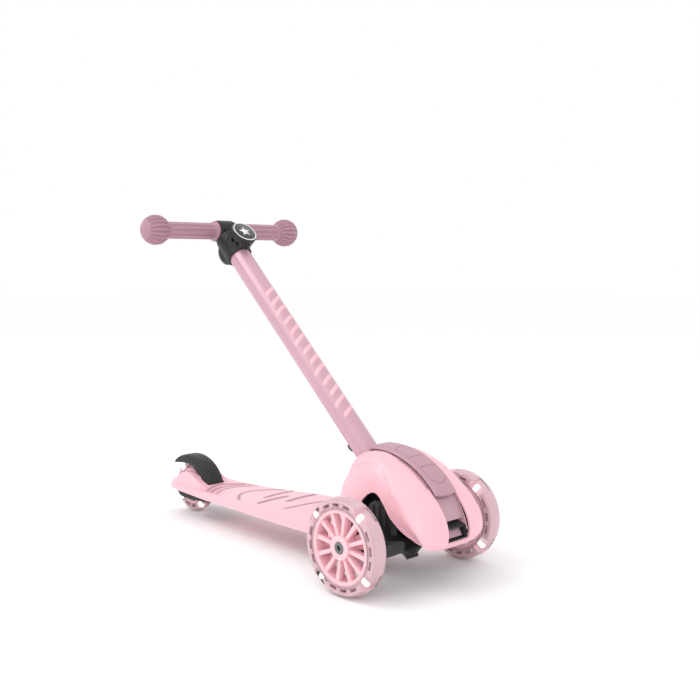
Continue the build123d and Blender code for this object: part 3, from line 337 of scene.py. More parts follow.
def curve_through(points, count=None):
    """A smooth line through the points (centripetal Catmull-Rom), in count even steps if given."""
    pts = [Vector(p) for p in points]
    pts = [2 * pts[0] - pts[1]] + pts + [2 * pts[-1] - pts[-2]]
    dense = []
    for i in range(1, len(pts) - 2):
        p0, p1, p2, p3 = pts[i - 1:i + 3]
        t0 = 0.0
        t1 = t0 + max(1e-6, (p1 - p0).length) ** 0.5
        t2 = t1 + max(1e-6, (p2 - p1).length) ** 0.5
        t3 = t2 + max(1e-6, (p3 - p2).length) ** 0.5
        for k in range(24):
            t = t1 + (t2 - t1) * k / 24
            a1 = p0 * ((t1 - t) / (t1 - t0)) + p1 * ((t - t0) / (t1 - t0))
            a2 = p1 * ((t2 - t) / (t2 - t1)) + p2 * ((t - t1) / (t2 - t1))
            a3 = p2 * ((t3 - t) / (t3 - t2)) + p3 * ((t - t2) / (t3 - t2))
            b1 = a1 * ((t2 - t) / (t2 - t0)) + a2 * ((t - t0) / (t2 - t0))
            b2 = a2 * ((t3 - t) / (t3 - t1)) + a3 * ((t - t1) / (t3 - t1))
            dense.append(b1 * ((t2 - t) / (t2 - t1)) + b2 * ((t - t1) / (t2 - t1)))
    dense.append(pts[-2])
    if count is None:
        return dense
    run = [0.0]
    for a, b in zip(dense, dense[1:]):
        run.append(run[-1] + (b - a).length)
    out, j = [], 0
    for k in range(count):
        want = run[-1] * k / (count - 1)
        while j < len(run) - 2 and run[j + 1] < want:
            j += 1
        f = (want - run[j]) / max(1e-9, run[j + 1] - run[j])
        out.append(dense[j].lerp(dense[j + 1], max(0.0, min(1.0, f))))
    return out


def step(value, low, high):
    """Smooth rise from 0 at low to 1 at high."""
    t = max(0.0, min(1.0, (value - low) / (high - low)))
    return t * t * (3 - 2 * t)


def along(table, value):
    """Value read from a small table of (key, value), straight between its keys."""
    if value <= table[0][0]:
        return table[0][1]
    for (a, va), (b, vb) in zip(table, table[1:]):
        if value <= b:
            return va + (vb - va) * (value - a) / (b - a)
    return table[-1][1]


def round_profile(half, low, high, r):
    """Section of a ring between two radii, -half to half along, its corners rounded by r."""
    out = []
    for cx, cr, start in ((half - r, high - r, 0), (-half + r, high - r, 90),
                          (-half + r, low + r, 180), (half - r, low + r, 270)):
        for k in range(4):
            a = radians(start + 30 * k)
            out.append((cx + r * cos(a), cr + r * sin(a)))
    return out


# ---------------------------------------------------------------- cowl
# Stations from the deck over the crown to the chin: slot edge (y, z), lower edge (y, z),
# fullest half width, half width at the lower edge.
COWL = [
    ((92, 61), (66, 60.5), 57, 56), ((92, 75), (56, 60.5), 59, 58),
    ((91, 88), (44, 62), 61, 60), ((88, 102), (38, 75), 62, 61),
    ((84, 114), (34.5, 86), 62, 61), ((78, 127), (29, 96), 61, 60.5),
    ((70, 140), (23, 104), 60, 60), ((57, 152), (15.5, 111), 59, 59.5),
    ((42, 157), (8, 114.6), 59, 59.5), ((26, 159), (0.5, 115), 60, 60),
    ((10, 157.5), (-6, 112), 61, 60.5), ((-8, 151.5), (-13, 105.5), 63, 61),
    ((-24, 144.5), (-20, 98.5), 65, 62), ((-40, 134), (-27, 91.5), 66.5, 62.5),
    ((-55, 122), (-35, 85), 68, 62), ((-67, 110.5), (-43, 79), 69, 61),
    ((-77, 98), (-50, 73.4), 68.5, 58), ((-83, 86.5), (-56, 68), 66.5, 53),
    ((-86, 75), (-61, 63.5), 63.5, 49), ((-85.5, 66.5), (-65.5, 60), 59, 44),
    ((-83.5, 60), (-69, 57), 51.5, 38), ((-79.5, 55), (-71, 54.8), 42, 31),
    ((-74.5, 52.4), (-71.5, 53.4), 31, 25),
]
# The crease on each cheek in the side view (y, z), and how deep the cheek steps in below it.
CREASE = [(92, 112), (80, 128), (62, 139), (45, 145), (28, 151), (10, 152.5), (-2, 150),
          (-17, 137), (-30, 120.5), (-48, 107), (-67, 99.5)]
CREASE_DEPTH = 4.0
# Side-view outline (y, z) of black plates beside the slot inside the cowl: painted shade seen through
# the slot.
SHADE_PLATE_EDGE = [(-8, 74), (60, 64), (78, 64), (78, 100), (64, 126), (48, 140), (20, 144), (-4, 137),
              (-18, 122), (-18, 90)]


def station(t, pick):
    """Smooth reading of one column of the cowl's stations, t from 0 to 1."""
    keys = [pick(row) for row in COWL]
    place = t * (len(keys) - 1)
    i = min(int(place), len(keys) - 2)
    f = place - i
    p = [keys[max(0, min(len(keys) - 1, i + k))] for k in (-1, 0, 1, 2)]
    return 0.5 * (2 * p[1] + (p[2] - p[0]) * f + (2 * p[0] - 5 * p[1] + 4 * p[2] - p[3]) * f * f
                  + (3 * p[1] - p[0] - 3 * p[2] + p[3]) * f ** 3)


def crease_side(y, z):
    """Signed distance of a side-view point from the crease, and the share of the crease there."""
    best, side, share = 1e9, 0.0, 0.0
    for i, (a, b) in enumerate(zip(CREASE, CREASE[1:])):
        ay, az, by, bz = *a, *b
        dy, dz = by - ay, bz - az
        f = max(0.0, min(1.0, ((y - ay) * dy + (z - az) * dz) / (dy * dy + dz * dz)))
        qy, qz = ay + dy * f, az + dz * f
        d = hypot(y - qy, z - qz)
        if d < best:
            best, share = d, (i + f) / (len(CREASE) - 1)
            side = d if dy * (z - az) - dz * (y - ay) > 0 else -d
    return side, share


def cowl_rows(count_t, count_u):
    rows = []
    for j in range(count_t + 1):
        t = j / count_t
        y0, z0 = station(t, lambda r: r[0][0]), station(t, lambda r: r[0][1])
        y1, z1 = station(t, lambda r: r[1][0]), station(t, lambda r: r[1][1])
        full, low = station(t, lambda r: r[2]), station(t, lambda r: r[3])
        row = []
        for i in range(count_u + 1):
            u = i / count_u
            a = u * pi / 2
            n = 1.75 + 0.6 * step(t, 0.25, 0.5)
            out = sin(a) ** (2 / n) if a > 0 else 0.0
            down = cos(a) ** (2 / n) if u < 1 else 0.0
            y, z = y1 + (y0 - y1) * down, z1 + (z0 - z1) * down
            x = SLOT_HALF + (full - SLOT_HALF) * out
            x -= (full - low) * step(u, 0.62, 1.0)
            side, share = crease_side(y, z)
            depth = CREASE_DEPTH * (1 - step(share, 0.68, 1.0)) * step(share, 0.0, 0.22)
            x -= depth * step(side, -1.5, 7.0) * step(x, 22, 34)
            row.append(Vector((x, FY + y, z)))
        rows.append(row)
    return rows


def make_cowl():
    rows = cowl_rows(150, 56)
    shell = Build()
    shell.grid(rows)
    shell.grid([[Vector((-p.x, p.y, p.z)) for p in row] for row in rows])
    # chin bridge under the slot, bowed a little forward
    chin_top, bow = 61.2, 1.3
    bridge = []
    for edge in (row[0] for row in rows):
        if edge.z <= chin_top and edge.y < FY:
            bridge.append([Vector((x, edge.y - bow * (1 - (x / SLOT_HALF) ** 2), edge.z)) for x in
                           [SLOT_HALF - 2 * SLOT_HALF * k / 16 for k in range(17)]])
    shell.grid(bridge)
    obj = shell.make("cowl_shell", "deck", PINK, replaces=("front_cowl",), slot="pale_pink_shell",
                     outward=(0, FY, 80))
    # the wall's inner face takes black: painted shade inside the cowl
    obj.data.materials.append(BLACK)
    wall(obj, 2.6).material_offset = 1
    bevel(obj, 0.7, 2, 50)


make_cowl()
# black plates just outside the slot: painted shade inside the cowl
shade_plates = Build()
for s in (1, -1):
    shade_plates.prism([Vector((s * (SLOT_HALF + 0.6), FY + y, z)) for y, z in SHADE_PLATE_EDGE],
                (s * 1.4, 0, 0))
bevel(shade_plates.make("cowl_shade_plates", "deck", BLACK, slot="black_nylon"), 0.3)
guides = Build()
for s in (1, -1):
    guides.arc_block((0, SHIELD_Y, SHIELD_Z), (s * (SLOT_HALF + 0.25), s * (SLOT_HALF + 2.0)),
                     (100.0, 115.9), (112, 164), 40)
bevel(guides.make("slot_guides", "deck", PINK, slot="pale_pink_shell"), 0.3)


# ---------------------------------------------------------------- wheels
def wheel(name, ox, k, body, side, stands_for):
    """Spoked core, glossy bead ring, slotted light band and light windows in a clear cast tyre.

    ox is the middle of the axle, k the size table, side the X direction of its outer face.
    """
    core = Build()
    core.lathe(round_profile(k["hub_x"], k["hub_in"], k["hub_out"], 1.2), 64, ox)
    core.lathe(round_profile(k["rim_x"], k["rim_in"], k["rim_out"], 1.2), 128, ox)
    count = k["spokes"]
    for x_low, x_high, wide, turn in k["spoke_layers"]:
        for n in range(count):
            a = radians(k["spoke_start"] + turn + 360.0 * n / count)
            out, across = Vector((0, cos(a), sin(a))), Vector((0, -sin(a), cos(a)))
            rings = []
            for f in (0.0, 0.08, 0.5, 0.92, 1.0):
                r = k["hub_out"] - 1.2 + (k["rim_in"] - k["hub_out"] + 2.2) * f
                w = wide * (0.40 + 0.16 * f + 0.10 * (abs(2 * f - 1) ** 4))
                at = Vector(ox) + out * r
                rings.append([at + SIDE * side * x + across * c for x, c in
                              ((x_low, -w), (x_high - 0.9, -w), (x_high, -w * 0.78), (x_high, w * 0.78),
                               (x_high - 0.9, w), (x_low, w))])
            core.loft(rings)
    bevel(core.make(name + "_core", body, PINK_WHEEL, replaces=stands_for["core"],
                    slot="pale_pink_shell"), 0.5, 2, 35)

    band = Build()
    gap = k["led_gap"]
    pitch = 360.0 / k["lights"]
    across_band = (-k["band_x"], k["band_x"])
    across_bars = (-k["band_x"] + 0.4, k["band_x"] - 0.4)
    bars = k["slots"] + 1
    share = 0.62                     # width of a bar beside the width of a slot
    for n in range(k["lights"]):
        a0 = k["led_start"] + pitch * n + gap
        a1 = k["led_start"] + pitch * (n + 1) - gap
        band.arc_block(ox, across_band, (k["tread_in"], k["tread_out"]), (a0, a1), 28)
        band.arc_block(ox, across_band, (k["rim_out"] - 0.3, k["band_in"]), (a0, a1), 28)
        each = (a1 - a0) / (k["slots"] + share * bars)
        for b in range(bars):
            s0 = a0 + b * each * (1 + share)
            band.arc_block(ox, across_bars, (k["band_in"] - 0.3, k["tread_in"] + 0.3),
                           (s0, s0 + share * each), 4)
    bevel(band.make(name + "_band", body, PINK_BAND, slot="pale_pink_shell"), 0.35, 2, 35)

    lights = Build()
    for n in range(k["lights"]):
        a = radians(k["led_start"] + pitch * n)
        out, across = Vector((0, cos(a), sin(a))), Vector((0, -sin(a), cos(a)))
        rings = []
        for f, grow in ((0.0, 0.55), (0.06, 0.85), (0.16, 1.0), (0.84, 1.0), (0.94, 0.85), (1.0, 0.55)):
            r = k["led_in"] + (k["led_out"] - k["led_in"]) * f
            at = Vector(ox) + out * r - SIDE * k["led_mid"]
            ring = []
            for q in range(16):
                b = 2 * pi * q / 16
                cx = abs(cos(b)) ** 0.5 * (1 if cos(b) > 0 else -1)
                cy = abs(sin(b)) ** 0.5 * (1 if sin(b) > 0 else -1)
                ring.append(at + SIDE * cx * k["led_x"] * grow + across * cy * k["led_w"] * grow)
            rings.append(ring)
        lights.loft(rings)
    lights.make(name + "_lights", body, LED, replaces=stands_for["leds"], slot="led_white")

    bead = Build()
    bead.lathe(round_profile(k["bead_x"], k["rim_out"] - 0.2, k["bead_out"], 0.55), 128, ox)
    bead.make(name + "_bead", body, PALE_BEAD, slot="clear_tyre")
    # thin dark rings at the bead's edges: painted shade in its seams
    lines = Build()
    for low, high in k["bead_lines"]:
        for s in (-1, 1):
            lines.lathe([(s * (k["bead_x"] - 1.0), low), (s * (k["bead_x"] + 0.12), low),
                         (s * (k["bead_x"] + 0.12), high), (s * (k["bead_x"] - 1.0), high)], 128, ox)
    lines.make(name + "_bead_lines", body, BEAD_SHADE_LINE, slot="clear_tyre")

    tyre = Build()
    half, r_in, r_out = k["tyre_x"], k["rim_out"] + 0.15, k["tyre_out"]
    section = [(-half + 2.2, r_in), (half - 2.2, r_in), (half - 0.7, r_in + 0.5), (half, r_in + 2.0)]
    rise = r_out - k["crown"]
    section.append((half, rise - 1.0))
    for q in range(1, 16):
        b = pi * q / 16
        section.append((half * cos(b), rise + k["crown"] * sin(b) ** 0.8))
    section += [(-half, rise - 1.0), (-half, r_in + 2.0), (-half + 0.7, r_in + 0.5)]
    tyre.lathe(section, 160, ox)
    tyre.make(name + "_tyre", body, CLEAR, replaces=stands_for["tyre"], slot="clear_tyre")


# Radii, half widths (_x) and angles in degrees; spoke layers are (x low, x high, width, turn).
FRONT_SIZE = dict(
    hub_x=11.3, hub_in=7.25, hub_out=15.2, rim_x=10.4, rim_in=41.0, rim_out=45.6,
    spokes=12, spoke_start=8,
    spoke_layers=((1.5, 8.6, 5.4, 0.0), (-9.0, -5.0, 7.6, 15.0)),
    lights=4, led_start=38.0, led_gap=12.0, slots=3,
    led_in=47.0, led_out=56.0, led_mid=7.0, led_x=2.8, led_w=3.0,
    band_x=9.4, band_in=49.6, tread_in=52.8, tread_out=56.6,
    bead_x=10.9, bead_out=48.2, bead_lines=((45.7, 46.1), (48.0, 48.35)),
    tyre_x=12.3, tyre_out=59.95, crown=7.0,
)
REAR_SIZE = dict(
    hub_x=8.9, hub_in=7.2, hub_out=12.4, rim_x=8.3, rim_in=24.0, rim_out=28.4,
    spokes=10, spoke_start=10,
    spoke_layers=((1.2, 6.8, 3.2, 0.0), (-6.8, -1.2, 3.2, 18.0)),
    lights=4, led_start=50.0, led_gap=10.0, slots=2,
    led_in=29.6, led_out=37.0, led_mid=4.6, led_x=3.0, led_w=3.2,
    band_x=7.4, band_in=30.8, tread_in=33.8, tread_out=37.2,
    bead_x=8.5, bead_out=30.2, bead_lines=((28.5, 28.9), (30.1, 30.4)),
    tyre_x=9.95, tyre_out=39.95, crown=6.0,
)
for side, word in ((-1, "right"), (1, "left")):
    middle = spot("front_tyre_" + word)
    wheel("front_wheel_" + word, (middle.x, FY, FR), FRONT_SIZE, "wheel_" + word, side, {
        "core": ("front_wheel_core_" + word, "front_bearings_" + word),
        "leds": ("front_wheel_leds_" + word,), "tyre": ("front_tyre_" + word,)})
    # the bolt's head sits 3.4 mm inside the end of the CAD bolt, sunk in the hub
    low, high = span("front_axle_bolt_" + word, 0)
    face = low if side < 0 else high
    inside = middle.x - side * 20.0
    reach = face - inside - side * 3.4
    root = (inside, FY, FR)
    bolt = Build()
    bolt.lathe([(0.0, 0.0), (0.0, 3.9), (side * 12.0, 3.9)], 40, root, closed=False)
    head = [(3.9, 3.9), (3.9, 7.0), (0.9, 7.0), (0.25, 6.6), (0.0, 5.9), (0.0, 3.9), (0.5, 3.5),
            (2.4, 3.3), (2.4, 0.0)]
    bolt.lathe([(side * 12.0, 3.9)] + [(reach - side * back, r) for back, r in head], 40, root,
               closed=False)
    bolt.make("axle_bolt_" + word, "truck", DULL_STEEL, replaces=("front_axle_bolt_" + word,),
              slot="steel")
    # a black disc at the bottom of the bolt head's recess: painted shade in the socket
    hollow = [(2.35, 0.0), (1.5, 0.0), (1.5, 3.1), (2.35, 3.2)]
    socket = Build()
    socket.lathe([(reach - side * back, r) for back, r in hollow], 24, root, closed=False)
    socket.make("axle_socket_shade_" + word, "truck", BLACK, slot="black_nylon")
wheel("rear_wheel", (0.0, RY, RR), REAR_SIZE, "wheel_rear", 1, {
    "core": ("rear_wheel_core", "rear_bearings"), "leds": ("rear_wheel_leds",),
    "tyre": ("rear_tyre",)})


# ---------------------------------------------------------------- deck
# Y in this part is measured back from the front axle.
DECK_Y0, TAIL_Y = (v - FY for v in span("deck_shell", 1))
SLOT_Y = span("rear_tyre", 1)[0] - FY - 17.0     # front of the rear wheel's slot
SLOT_X = 16.0
DECK_FOOT = 40.0
DECK_TOP = [(DECK_Y0, 60.0), (200.0, 60.0), (296.0, 53.2), (391.0, 49.0), (TAIL_Y, 48.0)]
TOP_LINE = curve_through([(a, b, 0) for a, b in DECK_TOP])
# Height of the cheeks beside the rear wheel, by distance from its axle.
HUMP = [(-72, 0.0), (-64, 1.0), (-54, 3.6), (-44, 7.6), (-34, 12.2), (-24, 16.4), (-14, 18.8),
        (-6, 18.4), (2, 15.6), (10, 11.2), (18, 6.2), (24, 1.8), (26, 0.4)]
WIDTH = [(DECK_Y0, 50.0), (70, 53.0), (100, 55.0), (130, 55.8), (200, 55.0), (300, 51.0),
         (397, 47.6), (440, 46.8), (457, 44.6), (468, 40.0), (476, 33.5), (480.5, 28.0),
         (TAIL_Y, 24.0)]


def deck_top(y):
    for a, b in zip(TOP_LINE, TOP_LINE[1:]):
        if y <= b.x:
            return a.y + (b.y - a.y) * (y - a.x) / max(1e-6, b.x - a.x)
    return TOP_LINE[-1].y


def deck_bottom(y):
    return DECK_FOOT + 4.6 * step(y, 360, TAIL_Y - 12)


def hump(y):
    return along(HUMP, y - (RY - FY))


def swell(x, y):
    """Rise of the deck at a point, full beside the wheel slot and gone towards the edge."""
    return hump(y) * (1 - step(abs(x), SLOT_X + 8.0, SLOT_X + 22.0))


def deck_width(y):
    """Half width of the deck, a smooth reading of WIDTH."""
    i = 0
    while i < len(WIDTH) - 2 and WIDTH[i + 1][0] < y:
        i += 1
    p = [WIDTH[max(0, min(len(WIDTH) - 1, i + k))] for k in (-1, 0, 1, 2)]
    f = max(0.0, min(1.0, (y - p[1][0]) / (p[2][0] - p[1][0])))
    m1 = (p[2][1] - p[0][1]) / max(1e-6, p[2][0] - p[0][0]) * (p[2][0] - p[1][0])
    m2 = (p[3][1] - p[1][1]) / max(1e-6, p[3][0] - p[1][0]) * (p[2][0] - p[1][0])
    return ((2 * f ** 3 - 3 * f * f + 1) * p[1][1] + (f ** 3 - 2 * f * f + f) * m1
            + (3 * f * f - 2 * f ** 3) * p[2][1] + (f ** 3 - f * f) * m2)


def deck_section(y, x_in):
    """Half section of the deck from x_in out over the shoulder and down the side."""
    top, bottom = deck_top(y), deck_bottom(y)
    r = min(8.0, (top - bottom) * 0.62)
    flare = 1.6
    edge = deck_width(y) - flare
    points = []
    for k in range(25):
        x = x_in + (edge - r - x_in) * k / 24
        points.append((x, top + swell(x, y)))
    shoulder = points[-1][1] - r
    for k in range(1, 9):
        a = radians(90 - 90 * k / 8)
        points.append((edge - r + r * cos(a), shoulder + r * sin(a)))
    for k in range(1, 6):
        f = k / 5
        points.append((edge + flare * f, shoulder + (bottom - shoulder) * f))
    return [Vector((x, FY + y, z)) for x, z in points]


def make_deck():
    """The deck's tread and sides; open below, with ribs under the tread."""
    shell = Build()
    front_ys = [DECK_Y0 + (SLOT_Y - DECK_Y0) * k / 90 for k in range(91)]
    rear_ys = [SLOT_Y + (TAIL_Y - SLOT_Y) * k / 60 for k in range(61)]
    for s in (1, -1):
        rows = [[Vector((s * p.x, p.y, p.z)) for p in deck_section(y, SLOT_X)]
                for y in front_ys + rear_ys[1:]]
        shell.grid(rows)
        # side wall of the wheel slot, then the tail wall
        shell.grid([[row[0], Vector((row[0].x, row[0].y, deck_bottom(row[0].y - FY)))]
                    for row in rows[90:]])
        tail = rows[-1]
        shell.grid([tail, [Vector((p.x, p.y, min(p.z, deck_bottom(TAIL_Y)))) for p in tail]])
    middle = [[Vector((SLOT_X - 2 * SLOT_X * k / 16, FY + y, deck_top(y) + hump(y))) for k in range(17)]
              for y in front_ys]
    shell.grid(middle)
    shell.grid([middle[-1], [Vector((p.x, p.y, FLOOR_Z)) for p in middle[-1]]])
    # front wall, inside the cowl
    for s in (1, -1):
        nose = [Vector((s * p.x, p.y, p.z)) for p in deck_section(DECK_Y0, SLOT_X)]
        shell.grid([nose, [Vector((p.x, p.y, DECK_FOOT)) for p in nose]])
    shell.grid([middle[0], [Vector((p.x, p.y, DECK_FOOT)) for p in middle[0]]])
    obj = shell.make("deck_body", "deck", PINK, replaces=("deck_shell",), slot="pale_pink_shell",
                     outward=(0, FY + 250, 30))
    wall(obj, 3.2)
    bevel(obj, 0.6, 2, 55)
    make_ribs()


def make_ribs():
    ribs = Build()
    thick, under = 2.2, 2.5
    for y in [100 + 46 * k for k in range(6)]:
        w = deck_width(y) - 5.0
        top = deck_top(y) - under
        ribs.prism([Vector((x, FY + y - thick / 2, z)) for x, z in
                    ((-w, FLOOR_Z), (w, FLOOR_Z), (w, top), (-w, top))], (0, thick, 0))
    line = [DECK_Y0 + 4 + (SLOT_Y - DECK_Y0 - 6) * k / 20 for k in range(21)]
    for x in (-33, -20, 20, 33):
        low = [Vector((x - thick / 2, FY + y, FLOOR_Z)) for y in line]
        top = [Vector((x - thick / 2, FY + y, deck_top(y) - under)) for y in line]
        far_low, far_top = ([p + SIDE * thick for p in edge] for edge in (low, top))
        for pair in ((low, top), (far_low, far_top), (low, far_low), (top, far_top)):
            ribs.grid(pair)
    bevel(ribs.make("deck_ribs", "deck", PINK, slot="pale_pink_shell"), 0.3, 2)


BAR_SECTION = ((-0.5, -0.6), (-0.5, 0.55), (-0.36, 1.0), (0.0, 1.0), (0.36, 1.0), (0.5, 0.55),
               (0.5, -0.6))


def deck_band(band, line, width):
    """A raised bar on the deck along plan points (x, y), with tapered round ends."""
    rise = 0.55
    pts = curve_through([(x, y, 0) for x, y in line], 40)
    rings = []
    for i, p in enumerate(pts):
        a, b = pts[max(0, i - 1)], pts[min(len(pts) - 1, i + 1)]
        t = (b - a).normalized()
        n = Vector((-t.y, t.x, 0))
        f = i / (len(pts) - 1)
        cap = min(1.0, (min(f, 1 - f) * 40 / (width * 0.5)) ** 0.5)
        w = max(0.15, width * cap)
        ring = []
        for off, lift in BAR_SECTION:
            q = p + n * off * w
            base = deck_top(q.y) + swell(q.x, q.y)
            ring.append(Vector((q.x, FY + q.y, base + lift * rise)))
        rings.append(ring)
    band.loft(rings)


make_deck()
end_y = RY - FY
inlays = Build()
# arcs (middle y, half width, sag, bar width), then three bars and the front line
for mid, half, sag, w in ((end_y - 62, 37, 20, 4.6), (end_y - 74, 39, 21, 4.8),
                          (end_y - 88, 39, 22, 2.8), (324, 44, 38, 4.8)):
    arc = [(-half * (1 - k / 4), mid - sag * (1 - k / 4) ** 2) for k in range(9)]
    deck_band(inlays, arc, w)
for x0, y0, x1, y1, w in ((-16, 266, 46, 270, 9.0), (-48, 240, 14, 244, 10.0),
                          (-18, 214, 44, 218, 9.0)):
    deck_band(inlays, [(x0, y0), ((x0 + x1) / 2, (y0 + y1) / 2 + 3), (x1, y1)], w)
deck_band(inlays, [(-48, 184), (-4, 180), (40, 170)], 4.0)
bevel(inlays.make("deck_inlays", "deck", INLAY, replaces=("deck_grip_inlays",),
                  slot="mauve_inlay"), 0.2, 1, 50)


# ---------------------------------------------------------------- fender and cradle
def make_fender():
    """A curved shell between its crest line and the lower line of its skirts."""
    crest = curve_through([(0, -57, 52), (0, -55.2, 60), (0, -47, 72.4), (0, -32.5, 83.0),
                           (0, -14, 89.4), (0, 4, 90.8), (0, 20, 88.0), (0, 31, 83.4),
                           (0, 36.6, 78.6)], 60)
    skirt = curve_through([(0, -52, 49.6), (0, -46, 52.6), (0, -38, 58), (0, -28, 65.5),
                           (0, -16, 73.2), (0, -2, 77), (0, 12, 77.2), (0, 25, 75.8),
                           (0, 34.5, 74.4)], 60)
    half = 15.0
    rows = []
    for c, k in zip(crest, skirt):
        row = []
        for q in range(41):
            a = pi * q / 40
            x = abs(cos(a)) ** (2 / 5.0) * (1 if cos(a) > 0 else -1)
            h = sin(a) ** (2 / 3.4) if 0 < q < 40 else 0.0
            p = k.lerp(c, h)
            row.append(Vector((half * x, RY + p.y, p.z)))
        rows.append(row)
    shell = Build()
    shell.grid(rows)
    obj = shell.make("fender_shell", "brake", BLACK, replaces=("brake_fender",), slot="black_nylon",
                     outward=(0, RY - 5, 55))
    wall(obj, 2.6)
    bevel(obj, 0.8, 3, 45)


make_fender()

cradle = Build()
CRADLE_TOP = 43.5
CROSS_Y = -46.5                      # the cradle is solid across ahead of this, clear of the wheel
SIDE_LINE = [(-92, CRADLE_TOP), (-84, 33), (-70, 27), (-52, 24.5), (-30, 23.2), (-4, 22.4),
             (14, 24), (21, 29), (24.6, 37), (24.6, CRADLE_TOP)]
outline = curve_through([(0, y, z) for y, z in SIDE_LINE], 44)
plate_in, plate_out = 12.6, 19.8
for s in (1, -1):
    cradle.prism([Vector((s * plate_in, RY + p.y, p.z)) for p in outline],
                 (s * (plate_out - plate_in), 0, 0))
cross = [(p.y, p.z) for p in outline if p.y < CROSS_Y] + [(CROSS_Y, CRADLE_TOP)]
cradle.prism([Vector((-plate_in, RY + y, z)) for y, z in cross], (2 * plate_in, 0, 0))
bevel(cradle.make("rear_cradle_body", "deck", BLACK, replaces=("rear_cradle",),
                  slot="black_nylon"), 1.2, 3, 30)
for s, word in ((1, "left"), (-1, "right")):
    boss = Build()
    boss.lathe([(s * 9.2, 4.2), (s * 9.2, 6.4), (s * plate_in, 7.0), (s * plate_out, 9.4),
                (s * plate_out, 4.2)], 40, (0, RY, RR))
    bevel(boss.make("cradle_boss_" + word, "deck", BLACK, slot="black_nylon"), 0.4)


# ---------------------------------------------------------------- grips
def make_grip(word, side):
    """Collar, fluted sleeve and grooved ball, turned about the handlebar."""
    low, high = span("grip_" + word, 0)
    start, ball_end = (abs(low), abs(high)) if side > 0 else (abs(high), abs(low))
    ball_r = 21.5
    ball_x = ball_end - ball_r
    grip_r = 12.2
    sleeve, neck = start + 8.4, ball_x - 17.5
    # (x, radius, kind): kind 0 is the plain collar, 1 the fluted sleeve, 2 the ball
    profile = [(start + x, r, 0) for x, r in
               ((0.0, 10.2), (0.1, 13.7), (0.9, 14.6), (2.6, 14.8), (4.3, 14.6), (5.2, 13.8),
                (6.2, 12.6), (8.4, grip_r))]
    for k in range(1, 22):
        profile.append((sleeve + (neck - 4 - sleeve) * k / 21, grip_r, 1))
    for k in range(1, 7):
        f = k / 6
        profile.append((neck - 4 + 4.5 * f, grip_r + 0.9 * f * f, 1 + f))
    for k in range(41):
        a = radians(143 - 143 * k / 40)
        profile.append((ball_x + ball_r * cos(a), max(0.0, ball_r * sin(a)), 2))
    turns = 228
    rows = []
    for x, r, kind in profile:
        ring = []
        for q in range(turns):
            b = 2 * pi * q / turns
            rr = r
            if kind >= 2 and r > 0:
                lon = (x - ball_x) / ball_r
                deep = step(lon, -0.83, -0.62) * (1 - step(lon, 0.62, 0.84))
                wave = 0.5 - 0.5 * cos(19 * b)
                rr = r - 3.1 * deep * (1 - wave ** 0.55)
            elif kind >= 1:
                wave = 0.5 + 0.5 * cos(10 * b + 0.3)
                fade = step(x, sleeve, start + 12) * (1 - step(x, neck - 6, neck - 1))
                rr = r - 1.2 * fade * step(wave, 0.74, 0.95)
            ring.append(Vector((side * x, BAR.y + rr * cos(b), BAR.z + rr * sin(b))))
        rows.append(ring)
    grip = Build()
    grip.grid(rows, close_u=True)
    grip.make("grip_" + word + "_rubber", "stem", RUBBER, replaces=("grip_" + word,),
              slot="mauve_grip", outward=(side * 80, BAR.y, BAR.z))


make_grip("right", -1)
make_grip("left", 1)


# ---------------------------------------------------------------- stem
tube_low = 54.0
tube_high = STEM_L - 18.0
tube = Build()
tube.lathe([(tube_low + 0.6, 14.55), (tube_low, 15.0), (tube_low, 15.5), (tube_low + 0.5, TUBE_R)]
           + [(tube_low + 0.5 + (tube_high - tube_low - 0.5) * k / 30, TUBE_R)
              for k in range(1, 31)]
           + [(tube_high, 14.55)], 96, STEM_ORIGIN, axis=UP_STEM, start=SIDE)
tube.make("stem_tube_painted", "stem", PAINT, replaces=("stem_tube",), slot="mauve_paint")

# plain slanted bars up the front of the tube, each wrapped around it
BARS_FROM, BARS_APART, BAR_WIDE, BAR_SLANT = 150.0, 18.6, 7.2, 15.0
bars = Build()
for n in range(13):
    a_low, a_high = (-62, 34) if n % 3 == 1 else (-50, 44)
    rows = []
    for k in range(19):
        f = k / 18
        a = radians(a_low + (a_high - a_low) * f)
        at = BARS_FROM + BARS_APART * n + BAR_SLANT * (f - 0.5)
        cap = min(1.0, (min(f, 1 - f) * 18 / 1.6 + 0.12) ** 0.5)
        row = []
        for off, lift in ((-0.5, -0.2), (-0.46, 0.16), (0.46, 0.16), (0.5, -0.2)):
            r = TUBE_R + lift
            row.append(on_stem(r * sin(a), -r * cos(a), at + off * BAR_WIDE * cap))
        rows.append(row)
    bars.loft(rows)
bars.make("stem_bars_print", "stem", PALE_PRINT, slot="pale_pink_shell")


# ---------------------------------------------------------------- handlebar clamp
badge_at = on_stem(0, 0, STEM_L - 38.1)


def cut_lathe(obj, profile, count, origin, **more):
    cut(obj, Build().lathe(profile, count, origin, closed=False, **more).make("cutter", "stem", BLACK))


